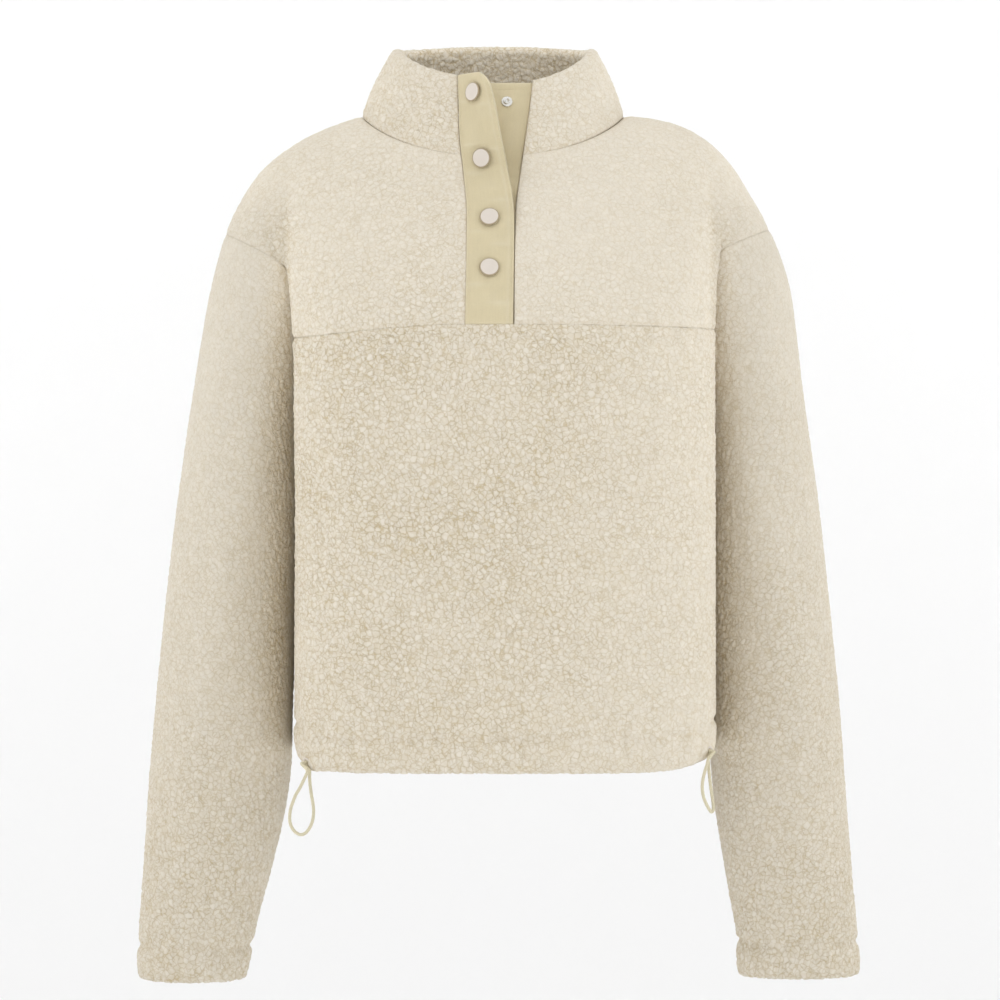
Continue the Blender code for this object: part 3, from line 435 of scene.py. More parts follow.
# Half of a panel, from the neck to the hem, as rows of points
def halfPanel(side, face, startX):
    steps = body["steps"]
    angles = np.linspace(0, math.pi, steps + 1)
    heights = (body["chestRow"][face], body["yokeSeam"], body["chestLine"])
    middleZ = np.interp(np.linspace(0, 1, steps + 1), (0, body["yokeStep"] / steps, 1), heights)
    rows = [panelRow(side, face, startX, m, armholeZ(side, a), a) for m, a in zip(middleZ, angles)]
    height = sleeve["underarm"] - body["hemMiddle"]["front"]
    for share in channelShares(height, body["hemHeight"], body["aboveHem"], 8):
        endZ = blend(sleeve["underarm"], body["hemSide"][side], share)
        rowZ = blend(body["chestLine"], body["hemMiddle"][face], share)
        rows.append(panelRow(side, face, startX, rowZ, endZ, None))
    top = shoulderPatch(side, face, startX, rows[0])
    return np.concatenate([top[:-1], np.array(rows)])


# Sleeve: an oval that turns once round and goes down from the armhole to the cuff
def sleeveGrid(side):
    angles = np.linspace(0, 2 * math.pi, 2 * body["steps"] + 1)[:-1]
    height = sleeve["underarm"] - sleeve["cuff"][side]
    rows = []
    for share in [0.0, *channelShares(height, sleeve["cuffHeight"], sleeve["aboveCuff"], 14)]:
        z = blend(armholeZ(side, angles), sleeve["cuff"][side], share)
        middle, half, depth = armOval(side, z)
        x = sides[side] * (middle + half * np.cos(angles))
        rows.append(stack(x, sleeve["middleY"] - depth * np.sin(angles), z))
    return np.array(rows)


def ovalDepth(x, halfWidth):  # superellipse of the neck: its reach at x, from 0 to 1
    return (1 - np.abs(x / halfWidth) ** neck["roundness"]) ** (1 / neck["roundness"])


def collarTop(shares):  # outline of the folded top, round the back
    turn = np.linspace(-math.pi, math.pi, 801)
    power = 2 / neck["roundness"]
    across = np.abs(np.sin(turn)) ** power
    deep = np.abs(np.cos(turn)) ** power
    back = np.cos(turn) > 0
    x = collar["x"] + collar["halfWidth"] * np.sign(np.sin(turn)) * across
    y = neck["y"] + np.where(back, collar["back"], -collar["front"]) * deep
    front = np.where(turn < 0, collar["frontZ"]["left"], collar["frontZ"]["right"])
    rise = np.where(back, collar["backZ"], front) - collar["sideZ"]
    ring = stack(x, y, collar["sideZ"] + rise * deep**1.6)
    frontLeft = (turn < -math.pi / 2) & (x > upperEdge(placket["top"]))
    frontRight = (turn > math.pi / 2) & (x < underEdge(placket["underTop"]))
    return resample(ring[~(frontLeft | frontRight)], shares)


# Collar: rows blend from the neck seam to the top outline, with a soft bulge between
def collarGrid(base):
    shares = arcShares(base)
    top = collarTop(shares)
    outward = (base + top) / 2 - np.array([collar["x"], neck["y"], 0.0])
    outward[:, 2] = 0
    outward = unit(outward)
    rows = []
    for v in np.linspace(0, 1, collar["rows"] + 1):
        row = blend(base, top, v) + outward * collar["bulge"] * math.sin(math.pi * v)
        rows.append(fitEnds(row, shares))
    return np.array(rows)


def fitEnds(row, shares):  # brings a row's ends onto the edges of the placket
    row = row.copy()
    for end, edge, near in ((0, upperEdge, shares), (-1, underEdge, 1 - shares)):
        x, y = placketEdge(edge, row[end, 2])
        move = np.array([x, y, row[end, 2]]) - row[end]
        row = row + move * (1 - ease(near / 0.2))[:, None]
    return row


def placketEdge(edge, z):  # front edge of a yoke, then of the collar
    x = edge(z)
    chest = -torsoDepth("front", x - readTable(torso, "shift", z), z)
    atSeam = edge(neck["z"]["front"]) - neck["x"]
    low = neck["y"] - neck["reach"]["front"] * ovalDepth(atSeam, neck["halfWidth"])
    high = neck["y"] - collar["front"] * ovalDepth(x - collar["x"], collar["halfWidth"])
    share = (z - neck["z"]["front"]) / (collar["frontZ"]["left"] - neck["z"]["front"])
    onCollar = blend(low, high, share) - collar["bulge"] * np.sin(math.pi * np.clip(share, 0, 1))
    onYoke = blend(low, chest, ease((neck["z"]["front"] - z) / 0.03))
    return x, np.where(z > neck["z"]["front"], onCollar, onYoke)


def bandPoint(s, z):  # upper band: s runs across it from its sewn edge
    x, y = placketEdge(upperEdge, z)
    swing = np.radians(readTable(placketLines, "swing", z))
    return stack(x + s * np.cos(swing), y - s * np.sin(swing), z)


def underPoint(s, z):  # under band: flat, a little behind the sewn edge
    x, y = placketEdge(underEdge, z)
    return stack(x - s, y + placket["underDrop"], z)


def knotsOf(grid, axis):  # mean distance along a grid's rows or columns
    steps = np.linalg.norm(np.diff(grid, axis=axis), axis=-1).mean(axis=1 - axis)
    return np.concatenate([[0.0], np.cumsum(steps)])


# Smooth surface through a coarse grid: cubic curves along one axis, sampled every step
def refine(grid, axis, step, ring=False):
    if ring:
        grid = np.concatenate([grid[:, -3:], grid, grid[:, :4]], axis=1)
    knots = knotsOf(grid, axis)
    low, high = (knots[3], knots[-4]) if ring else (knots[0], knots[-1])
    count = max(4, round((high - low) / step))
    places = np.linspace(low, high, count + 1)
    if ring:
        places = places[:-1]
    lines = np.moveaxis(grid, axis, 0)
    slopes = np.gradient(lines, knots, axis=0, edge_order=2)
    k = np.clip(np.searchsorted(knots, places, side="right") - 1, 0, len(knots) - 2)
    span = (knots[k + 1] - knots[k])[:, None, None]
    s = (places - knots[k])[:, None, None] / span
    return np.moveaxis(cubic(lines[k], lines[k + 1], slopes[k], slopes[k + 1], span, s), 0, axis)


def normalsOf(grid, ring, centre):  # unit normals, away from the middle of the garment or sleeve
    if ring:
        wide = np.concatenate([grid[:, -1:], grid, grid[:, :1]], axis=1)
        across = wide[:, 2:] - wide[:, :-2]
    else:
        across = np.gradient(grid, axis=1)
    normals = unit(np.cross(across, np.gradient(grid, axis=0)))
    facing = ((grid[..., :2] - centre) * normals[..., :2]).sum()
    return normals if facing > 0 else -normals


# Pile: one jittered seed in each cell of space
def hashed(cells, seed):  # even scatter from 0 to 1 by mixing the cell's numbers
    n = cells[..., 0] * 73856093 ^ cells[..., 1] * 19349663 ^ cells[..., 2] * 83492791 ^ seed * 2654435
    n = (n ^ (n >> 13)) * 1274126177 & 0x7FFFFFFF
    return ((n ^ (n >> 16)) & 0xFFFF) / 65535.0


def clumps(points, size):  # distance to the nearest two seeds, and the nearest one's tone
    places = points / size
    base = np.floor(places).astype(np.int64)
    near = np.full(points.shape[:-1], 9.0)
    second = np.full(points.shape[:-1], 9.0)
    tone = np.zeros(points.shape[:-1])
    for offset in np.ndindex(3, 3, 3):
        cell = base + np.array(offset) - 1
        centre = cell + stack(hashed(cell, 1), hashed(cell, 2), hashed(cell, 3))
        distance = np.linalg.norm(places - centre, axis=-1)
        closer = distance < near
        second = np.where(closer, near, np.minimum(second, distance))
        tone = np.where(closer, hashed(cell, 4), tone)
        near = np.where(closer, distance, near)
    return near, second, tone


def softNoise(points, size):  # value noise, from -1 to 1
    places = points / size
    base = np.floor(places).astype(np.int64)
    s = ease(places - base)
    total = np.zeros(points.shape[:-1])
    for offset in np.ndindex(2, 2, 2):
        weight = np.prod(np.where(np.array(offset) == 1, s, 1 - s), axis=-1)
        total = total + weight * hashed(base + np.array(offset), 7)
    return total * 2 - 1


# Sherpa cloth
sherpa = {
    "clump": 0.0052,
    "warp": 0.0016,
    "dome": 0.45,
    "crease": 0.20,
    "pileHeight": 0.0013,
    "pileBase": -0.0005,
    "seamLevel": -0.0005,
    "seamReach": 0.0030,
    "backing": 0.0030,
    "backingStep": 7,
}


# Rounded clumps between thin creases: a height and a crease from 0 to 1, and a tone for each clump
def pile(points):
    warp = stack(softNoise(points, 0.009), softNoise(points + 1.7, 0.009), softNoise(points + 3.1, 0.009))
    near, second, tone = clumps(points + warp * sherpa["warp"], sherpa["clump"])
    gap = second - near
    dome = 1 - (1 - np.clip(gap / sherpa["dome"], 0.0, 1.0)) ** 2
    return dome * blend(0.75, 1.0, tone), np.exp(-((gap / sherpa["crease"]) ** 2)), tone


# Soft folds: their middle, lean from the vertical, and reach
folds = columns(
    "face x z lean length width depth",
    (-1, -0.105, -0.300, -14, 0.120, 0.022, 0.0030),
    (-1, -0.045, -0.380, 10, 0.110, 0.026, 0.0026),
    (-1, 0.035, -0.330, -8, 0.130, 0.028, 0.0024),
    (-1, 0.105, -0.290, 16, 0.120, 0.022, 0.0030),
    (-1, 0.080, -0.420, -20, 0.070, 0.020, 0.0024),
    (-1, -0.115, -0.430, 18, 0.060, 0.018, 0.0024),
    (-1, -0.070, -0.182, 84, 0.040, 0.007, 0.0022),
    (-1, 0.065, -0.180, 95, 0.045, 0.007, 0.0022),
    (-1, -0.015, -0.1775, 90, 0.050, 0.0035, -0.0022),
    (-1, -0.205, -0.330, 12, 0.110, 0.016, 0.0035),
    (-1, -0.230, -0.500, 8, 0.090, 0.016, 0.0030),
    (-1, 0.210, -0.360, -12, 0.110, 0.016, 0.0035),
    (-1, 0.232, -0.520, -6, 0.080, 0.016, 0.0030),
    (1, -0.090, -0.260, 12, 0.110, 0.026, 0.0032),
    (1, 0.075, -0.310, -14, 0.120, 0.026, 0.0032),
    (1, 0.000, -0.400, 6, 0.090, 0.030, 0.0026),
    (1, -0.215, -0.380, 10, 0.100, 0.018, 0.0032),
    (1, 0.215, -0.380, -10, 0.100, 0.018, 0.0032),
)


def foldHeight(grid, face):  # each fold is a ridge that fades along its length
    x, z = grid[..., 0], grid[..., 2]
    height = np.zeros(x.shape)
    for k in np.flatnonzero(folds["face"] == face):
        lean = math.radians(folds["lean"][k])
        dx, dz = x - folds["x"][k], z - folds["z"][k]
        down = dx * math.sin(lean) + dz * math.cos(lean)
        across = dx * math.cos(lean) - dz * math.sin(lean)
        ridge = np.exp(-((across / folds["width"][k]) ** 2) - (down / folds["length"][k]) ** 4)
        height = height + folds["depth"][k] * ridge
    return height


# Chest fold: in front of the arm, an upright line; beyond it the pile is more open and the cloth takes
# painted shade
chestFold = {
    "x": 0.160,
    "edge": 0.006,
    "top": -0.050,
    "fade": 0.040,
    "outerTop": -0.030,
    "outerFade": 0.06,
    "shelter": 0.017,
    "low": -0.36,
    "lowFade": 0.22,
    "lowLoss": 0.75,
    "frontEdge": 0.015,
    "frontFade": 0.02,
}


def frontShare(grid):  # 1 on the front of the garment, 0 behind it
    return ease((sleeve["middleY"] - chestFold["frontEdge"] - grid[..., 1]) / chestFold["frontFade"])


def outerShare(grid):  # 1 beyond the chest fold and below its top
    c = chestFold
    down = ease((c["outerTop"] - grid[..., 2]) / c["outerFade"])
    return ease((np.abs(grid[..., 0]) - c["x"]) / c["edge"]) * down


def shelter(grid):  # how close the cloth lies beyond the chest fold and the body's edge
    c = chestFold
    beyond = np.abs(grid[..., 0]) - c["x"]
    across = np.exp(-((beyond / c["shelter"]) ** 2)) * ease((beyond + 0.002) / 0.004)
    down = ease((c["top"] - grid[..., 2]) / c["fade"])
    low = 1 - c["lowLoss"] * ease((c["low"] - grid[..., 2]) / c["lowFade"])
    return across * down * low * frontShare(grid)


def edgeDistances(grid, ring):  # distance along the cloth to its top, bottom and two side edges
    down = np.linalg.norm(np.diff(grid, axis=0), axis=-1).cumsum(axis=0)
    down = np.concatenate([np.zeros((1, grid.shape[1])), down])
    far = np.full(grid.shape[:2], 1.0)
    if ring:
        return down, down[-1:] - down, far, far
    across = np.linalg.norm(np.diff(grid, axis=1), axis=-1).cumsum(axis=1)
    across = np.concatenate([np.zeros((grid.shape[0], 1)), across], axis=1)
    return down, down[-1:] - down, across, across[:, -1:] - across


def gridFaces(rows, across, ring):  # quads between each row and the next, the last back to the first
    i = np.arange(rows)[:, None]
    j = np.arange(across if ring else across - 1)[None, :]
    nextRow = ((i + 1) % rows) * across
    k = (j + 1) % across
    return np.stack([i * across + j, i * across + k, nextRow + k, nextRow + j], axis=-1).reshape(-1, 4)


def fanFaces(first, around, middle):  # triangles from a ring of points to its middle point
    ring = np.arange(around)
    return np.stack([first + ring, first + (ring + 1) % around, np.full(around, middle)], axis=1)


def zipped(first, second, sharesA, sharesB):  # triangles between two lines that run the same way
    faces, i, j = [], 0, 0
    while i < len(first) - 1 or j < len(second) - 1:
        if j == len(second) - 1 or (i < len(first) - 1 and sharesA[i + 1] <= sharesB[j + 1]):
            faces.append((first[i], first[i + 1], second[j]))
            i += 1
        else:
            faces.append((first[i], second[j + 1], second[j]))
            j += 1
    return faces


# Mesh from arrays, with one float value a point for each attribute
def meshObject(name, points, quads, triangles=(), attributes=None, finish=None, smooth=True):
    mesh = bpy.data.meshes.new(name)
    points = np.asarray(points, np.float64)
    quads = np.asarray(quads, np.int64).reshape(-1, 4)
    triangles = np.asarray(triangles, np.int64).reshape(-1, 3)
    mesh.vertices.add(len(points))
    mesh.vertices.foreach_set("co", points.ravel())
    loops = np.concatenate([quads.ravel(), triangles.ravel()])
    mesh.loops.add(len(loops))
    mesh.loops.foreach_set("vertex_index", loops)
    starts = np.concatenate([np.arange(len(quads)) * 4, len(quads) * 4 + np.arange(len(triangles)) * 3])
    mesh.polygons.add(len(starts))
    mesh.polygons.foreach_set("loop_start", starts)
    for key, values in (attributes or {}).items():
        marks = mesh.attributes.new(key, "FLOAT", "POINT").data
        marks.foreach_set("value", np.asarray(values, np.float32).ravel())
    mesh.update(calc_edges=True)
    shell = bmesh.new()
    shell.from_mesh(mesh)
    bmesh.ops.recalc_face_normals(shell, faces=shell.faces)
    shell.to_mesh(mesh)
    shell.free()
    if smooth:
        mesh.shade_smooth()
    if finish is not None:
        mesh.materials.append(finish)
    made = bpy.data.objects.new(name, mesh)
    bpy.context.scene.collection.objects.link(made)
    return made


# Turned edge: the outer cloth rolls round a half circle, and goes back inside at its own depths
def turnEdge(outer, normals, last, radius, rows, depths):
    down = unit(outer[last] - outer[last - 3])
    turn = np.linspace(0, math.pi, 9)[1:, None, None]
    rollOut = normals[last] * np.cos(turn) + down * np.sin(turn)
    roll = outer[last] + (rollOut - normals[last]) * radius
    inside = outer[rows] - normals[rows] * depths[:, None, None]
    points = np.concatenate([outer[: last + 1], roll, inside])
    return points, np.concatenate([normals[: last + 1], rollOut, -normals[rows]])


# Closed shell: rows go down the outside and back up the inside, and zips of triangles close the side edges
def shell(name, rows, bend, ring, marks, finish):
    count, across = rows.shape[:2]
    triangles = []
    if not ring:
        numbers = np.arange(count) * across
        for column in (0, across - 1):
            outside = numbers[: bend + 1] + column
            inside = numbers[:bend:-1] + column
            line = rows[:, column]
            triangles += zipped(outside, inside, arcShares(line[: bend + 1]), arcShares(line[:bend:-1]))
    return meshObject(name, rows.reshape(-1, 3), gridFaces(count, across, ring), triangles, marks, finish)


def wave(grid, length, seed):  # soft irregular wave along x, from -1 to 1
    x = grid[..., 0] + grid[..., 1] * 0.35
    return np.sin(2 * math.pi * x / length + 1.6 * np.sin(2 * math.pi * x / (length * 3.7) + seed))


hem = {
    "foldEdge": 0.06,
    "pucker": 0.0009,
    "puckerWave": 0.019,
    "puckerReach": 0.014,
    "puckerEdge": 0.004,
    "groove": 0.0018,
    "grooveReach": 0.0032,
    "gatherReach": 0.024,
    "roll": 0.0011,
}


# Folds, puckers, stitched groove and gathers, all as heights along the normals
def shapeCloth(grid, normals, edges, piece):
    top, bottom, left, right = edges
    height = np.zeros(grid.shape[:2])
    if "face" in piece:
        height = foldHeight(grid, piece["face"])
        if piece["ring"]:
            height = np.where(grid[..., 1] < sleeve["middleY"], height, foldHeight(grid, 1))
        reach = np.minimum(np.minimum(top, bottom), np.minimum(left, right))
        height = height * ease(reach / hem["foldEdge"])
    if "pucker" in piece:
        distance = top if piece["pucker"] == "top" else bottom
        near = np.exp(-distance / hem["puckerReach"])
        pucker = hem["pucker"] * wave(grid, hem["puckerWave"], 1.0) * near
        height = height + pucker * ease(distance / hem["puckerEdge"])
    if piece["turned"]:
        fromSeam = bottom - piece["turned"]
        groove = np.exp(-((fromSeam / hem["grooveReach"]) ** 2))
        roll = np.sin(np.clip(bottom / piece["turned"], 0, 1) * math.pi)
        gather = wave(grid, piece["gatherWave"], 2.0) * np.exp(-((fromSeam / hem["gatherReach"]) ** 2))
        height = height + hem["roll"] * roll - hem["groove"] * groove + piece["gather"] * gather
    return grid + normals * height[..., None]


# How strongly the clumps stand out: from the piece's first value to its last down it, weaker to the right
def reliefOf(rows, piece, bend):
    down = np.linspace(0, 1, bend + 1)
    down = np.concatenate([down, np.ones(len(rows) - bend - 1)])[:, None]
    relief = blend(piece["relief"][0], piece["relief"][1], down)
    relief = relief * (1 - piece["fade"] * ease((rows[..., 0] + 0.02) / 0.16))
    if piece.get("folded"):
        relief = np.where(np.arange(len(rows))[:, None] > bend, piece["inside"], relief)
    # Stronger relief in the sheltered strip: taller clumps whose creases carry more painted shade
    relief = relief * (1 + piece["sheltered"] * shelter(rows))
    return relief * (1 + 0.15 * softNoise(rows, 0.045))


# A sewn panel: outer pile, its turned edge if it has one, and the knitted backing inside
def clothPiece(name, coarse, piece, finish):
    step, ring, turned, folded = piece["step"], piece["ring"], piece["turned"], piece.get("folded")
    grid = refine(refine(coarse, 0, step), 1, step, ring)
    edges = edgeDistances(grid, ring)
    grid = shapeCloth(grid, normalsOf(grid, ring, piece["centre"]), edges, piece)
    normals = normalsOf(grid, ring, piece["centre"])
    top, bottom, left, right = edges
    for distance, upright in ((left, piece.get("uprightLeft")), (right, piece.get("uprightRight"))):
        if upright:
            normals[..., 0] *= ease(distance / 0.014)
    normals = unit(normals)
    nearest = np.minimum(np.minimum(left, right), top)
    if not turned:
        nearest = np.minimum(nearest, bottom)
    dip = np.exp(-((nearest / sherpa["seamReach"]) ** 2))

    last = len(grid) - 1
    if turned:
        radius = piece["wall"] / 2
        last = last - max(1, round(radius / step))
        inner = np.arange(last - 2, last - round(turned / step), -2)
        depths = np.full(len(inner), piece["wall"])
        bend = last + 4
    elif folded:
        radius = piece["wall"] / 2
        last = last - round(radius / step)
        inner = np.arange(last - 1, -1, -1)
        depths = blend(0.004, piece["wall"], ease(inner / len(grid) / 0.3))
        bend = last + 4
    if turned or folded:
        rows, out = turnEdge(grid, normals, last, radius, inner, depths)
        dips = np.concatenate([dip[: last + 1], np.zeros((8, dip.shape[1])), dip[inner]])
    else:
        rows, out, dips, bend, inner = grid, normals, dip, last, np.array([last + 1])
    relief = reliefOf(rows, piece, bend)
    stretched = rows * (1.0, 1.0, piece["squeeze"])
    if turned:
        low = np.clip(turned - (rows[..., 2] - rows[last, :, 2]), 0, turned)
        stretched[..., 2] += low * 0.4
    raised, crease, tone = pile(stretched)
    lift = sherpa["pileBase"] + sherpa["pileHeight"] * blend(0.6, raised, relief)
    rows = rows + out * blend(lift, sherpa["seamLevel"], dips)[..., None]
    crease = crease * relief
    if not folded:
        back = np.arange(inner[-1] - 1, -1, -1)
        back = back[(back % sherpa["backingStep"] == 0) | (back == inner[-1] - 1)]
        rows = np.concatenate([rows, grid[back] - normals[back] * sherpa["backing"]])
        plain = np.ones((len(back), rows.shape[1]))
        crease = np.concatenate([crease, -plain])
        tone = np.concatenate([tone, plain / 2])
        dips = np.concatenate([dips, 0 * plain])
        relief = np.concatenate([relief, 0 * plain])
    # Painted shade: a tan tint where the cloth lies sheltered between the sleeve and the body, none on the
    # backing
    shade = piece["paintedShelterShade"] * shelter(rows)
    if not folded:
        shade[-len(back):] = 0
    # Painted light and shade, multiplied into the colour: from the piece's first value at the top to its
    # second at the bottom, with painted light in the sheltered strip
    share = np.clip((rows[..., 2] - rows[bend // 2, 0, 2]) / 0.3, -1, 1)
    paintedLightAndShade = blend(piece["paintedLightAndShade"][0], piece["paintedLightAndShade"][1], 0.5 - share / 2) + piece["paintedLightInShelter"] * shelter(rows)
    # Painted shade beyond the chest fold
    paintedLightAndShade = paintedLightAndShade - piece["outer"] * outerShare(rows)
    # Painted light: the collar's inner face is lightened
    if folded:
        paintedLightAndShade[bend + 1:] += 0.12
    marks = {"crease": crease, "tone": tone, "seam": dips, "relief": relief, "paintedLightAndShade": paintedLightAndShade, "shelter": shade}
    made = shell(name, rows, bend, ring, marks, finish)

    steps = np.linalg.norm(np.diff(grid, axis=1), axis=-1).sum(axis=1)
    if ring:
        steps = steps + np.linalg.norm(grid[:, 0] - grid[:, -1], axis=-1)
    place(made, "sherpa", piece["node"])
    return made


def place(piece, slot, *nodes):  # attaches a finished piece to the root body and hides the solids it stands in for
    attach(piece, "root")
    if nodes:
        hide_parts(*nodes)


# Node trees: a new node with its settings, and its inputs linked or set
def nodeIn(tree, kind, links=None, **values):
    made = tree.nodes.new(kind)
    for key, value in values.items():
        setattr(made, key, value)
    for key, value in (links or {}).items():
        socket = made.inputs[key]
        if isinstance(value, bpy.types.NodeSocket):
            tree.links.new(value, socket)
        else:
            socket.default_value = value
    return made


def newGroup(name, inputs, outputs):  # an empty node group with its sockets
    group = bpy.data.node_groups.new(name, "ShaderNodeTree")
    for key, (kind, value) in inputs.items():
        socket = group.interface.new_socket(name=key, in_out="INPUT", socket_type=kind)
        socket.default_value = value
    for key, kind in outputs.items():
        group.interface.new_socket(name=key, in_out="OUTPUT", socket_type=kind)
    return group, group.nodes.new("NodeGroupInput").outputs, group.nodes.new("NodeGroupOutput").inputs


def useGroup(tree, group, links):  # a group's outputs for the given inputs
    return nodeIn(tree, "ShaderNodeGroup", links, node_tree=group).outputs


def noiseIn(tree, where, scale, detail):  # soft noise in the space of the given vector
    return nodeIn(tree, "ShaderNodeTexNoise", {"Vector": where, "Scale": scale, "Detail": detail}).outputs


def mottled(tree, mottle, colour, scale, amount):  # a colour with the shared unevenness
    return useGroup(tree, mottle, {"Colour": colour, "Scale": scale, "Amount": amount})["Colour"]


def bumped(tree, shader, height, distance, strength):  # the shader's normal from a height
    bump = nodeIn(tree, "ShaderNodeBump", {"Height": height, "Distance": distance, "Strength": strength})
    tree.links.new(bump.outputs[0], shader["Normal"])


def shadeGrey(tree, value):  # a grey of the given value
    return nodeIn(tree, "ShaderNodeCombineColor", {0: value, 1: value, 2: value}).outputs[0]


# One maths node, in one expression
def maths(tree, operation, a, b=0.5, clamp=False):
    return nodeIn(tree, "ShaderNodeMath", {0: a, 1: b}, operation=operation, use_clamp=clamp).outputs[0]


# Mix of two colours by a factor
def mixColour(tree, factor, a, b, mode="MIX"):
    made = nodeIn(tree, "ShaderNodeMix", {0: factor, 6: a, 7: b}, data_type="RGBA", blend_type=mode)
    return made.outputs[2]


def rampValue(tree, value, low, high):  # from 0 below low to 1 above high, eased
    made = nodeIn(tree, "ShaderNodeMapRange", {0: value, 1: low, 2: high, 3: 0.0, 4: 1.0})
    made.interpolation_type = "SMOOTHSTEP"
    return made.outputs[0]


# Uneven colour that all cloth and cord share: two sizes of soft noise lighten and darken a colour
def mottleGroup():
    group, given, result = newGroup(
        "unevenDye",
        {
            "Colour": ("NodeSocketColor", (0.8, 0.8, 0.8, 1)),
            "Scale": ("NodeSocketFloat", 40.0),
            "Amount": ("NodeSocketFloat", 0.08),
        },
        {"Colour": "NodeSocketColor"},
    )
    where = nodeIn(group, "ShaderNodeTexCoord").outputs["Object"]
    large = noiseIn(group, where, given["Scale"], 3.0)[0]
    fine = noiseIn(group, where, maths(group, "MULTIPLY", given["Scale"], 14.0), 2.0)[0]
    both = maths(group, "ADD", large, maths(group, "MULTIPLY", fine, 0.6))
    centred = maths(group, "SUBTRACT", both, 0.8)
    gain = maths(group, "ADD", maths(group, "MULTIPLY", centred, given["Amount"]), 1.0)
    shaded = mixColour(group, 1.0, given["Colour"], shadeGrey(group, gain), "MULTIPLY")
    group.links.new(shaded, result["Colour"])
    return group


# Fine fibres for bumps: small noise over a smaller web of cells
def fibreGroup():
    group, given, result = newGroup(
        "fineFibres", {"Scale": ("NodeSocketFloat", 700.0)}, {"Height": "NodeSocketFloat"}
    )
    where = nodeIn(group, "ShaderNodeTexCoord").outputs["Object"]
    noise = noiseIn(group, where, given["Scale"], 4.0)[0]
    cells = nodeIn(group, "ShaderNodeTexVoronoi", {"Vector": where, "Scale": given["Scale"]})
    rough = maths(group, "MULTIPLY", cells.outputs["Distance"], 0.5)
    group.links.new(maths(group, "ADD", noise, rough), result["Height"])
    return group


# Material with one Principled shader and its even settings
def newMaterial(name, roughness, metallic=0.0, sheen=0.0, specular=0.5):
    made = bpy.data.materials.new(name)
    made.use_nodes = True
    shader = made.node_tree.nodes["Principled BSDF"]
    shader.inputs["Roughness"].default_value = roughness
    shader.inputs["Metallic"].default_value = metallic
    shader.inputs["Sheen Weight"].default_value = sheen
    shader.inputs["Specular IOR Level"].default_value = specular
    return made, made.node_tree, shader.inputs


def attributeValue(tree, name):  # a value that the mesh carries at its points
    return nodeIn(tree, "ShaderNodeAttribute", attribute_name=name).outputs["Fac"]


sherpaLook = {
    "top": (0.785, 0.728, 0.624, 1),
    # painted shade for the hollows between clumps
    "crease": (0.57, 0.46, 0.275, 1),
    # painted shade for the sheltered strip between sleeve and body
    "paintedShelterShade": (0.60, 0.49, 0.33, 1),
    "backing": (0.74, 0.66, 0.54, 1),
    "seam": (0.60, 0.51, 0.38, 1),
    "cells": 255.0,
    "line": 0.12,
    "bump": 0.0006,
    "bendScale": 210.0,
    "bend": 0.0050,
    "patchScale": 110.0,
    "lineShare": 0.66,
    "creaseShare": 0.32,
    "seamShare": 0.12,
    "paintedShelterShadeShare": 0.5,
}


# Sherpa fleece: clumps split by thin creases, pale on top; the creases take a darker tan, painted shade in
# the hollows between the clumps
def sherpaMaterial(look, mottle, fibres):
    made, tree, shader = newMaterial("creamSherpa", 0.95, sheen=0.08, specular=0.2)
    where = nodeIn(tree, "ShaderNodeTexCoord").outputs["Object"]
    bent = noiseIn(tree, where, look["bendScale"], 3.0)["Color"]
    middle = (0.5, 0.5, 0.5)
    offset = nodeIn(tree, "ShaderNodeVectorMath", {0: bent, 1: middle}, operation="SUBTRACT").outputs[0]
    links = {0: offset, "Scale": look["bend"]}
    small = nodeIn(tree, "ShaderNodeVectorMath", links, operation="SCALE").outputs[0]
    warped = nodeIn(tree, "ShaderNodeVectorMath", {0: where, 1: small}, operation="ADD").outputs[0]
    web = nodeIn(
        tree, "ShaderNodeTexVoronoi", {"Vector": warped, "Scale": look["cells"]}, feature="DISTANCE_TO_EDGE"
    ).outputs["Distance"]
    line = maths(tree, "SUBTRACT", 1.0, rampValue(tree, web, 0.0, look["line"]))
    patches = noiseIn(tree, where, look["patchScale"], 2.0)[0]
    strength = maths(tree, "MULTIPLY_ADD", rampValue(tree, patches, 0.38, 0.62), 0.25)
    strength.node.inputs[2].default_value = 0.70
    line = maths(tree, "MULTIPLY", maths(tree, "MULTIPLY", line, strength), attributeValue(tree, "relief"))
    crease = attributeValue(tree, "crease")
    # Painted shade: the web lines and creases darken the clump colour towards the crease colour
    lineDark = maths(tree, "MULTIPLY", line, look["lineShare"])
    creaseDark = maths(tree, "MULTIPLY", crease, look["creaseShare"])
    darker = maths(tree, "ADD", lineDark, creaseDark, True)
    colour = mixColour(tree, darker, look["top"], look["crease"])
    # The seam mark darkens the seam lines; the shelter mark adds painted shade as a tan tint
    for mark, share, tint in (("seam", "seamShare", "seam"), ("shelter", "paintedShelterShadeShare", "paintedShelterShade")):
        amount = maths(tree, "MULTIPLY", attributeValue(tree, mark), look[share])
        colour = mixColour(tree, amount, colour, look[tint])
    inside = rampValue(tree, crease, -0.2, -0.6)
    colour = mixColour(tree, inside, colour, look["backing"])
    tone = maths(tree, "MULTIPLY_ADD", attributeValue(tree, "tone"), 0.035)
    tone.node.inputs[2].default_value = 0.985
    # Painted light and shade from the mesh's mark, multiplied into the colour with the random clump tone
    shade = maths(tree, "MULTIPLY", tone, attributeValue(tree, "paintedLightAndShade"))
    colour = mixColour(tree, 1.0, colour, shadeGrey(tree, shade), "MULTIPLY")
    tree.links.new(mottled(tree, mottle, colour, 34.0, 0.025), shader["Base Color"])
    hair = useGroup(tree, fibres, {"Scale": 620.0})["Height"]
    height = maths(tree, "SUBTRACT", maths(tree, "MULTIPLY", hair, 0.25), line)
    bumped(tree, shader, height, look["bump"], 0.6)
    return made


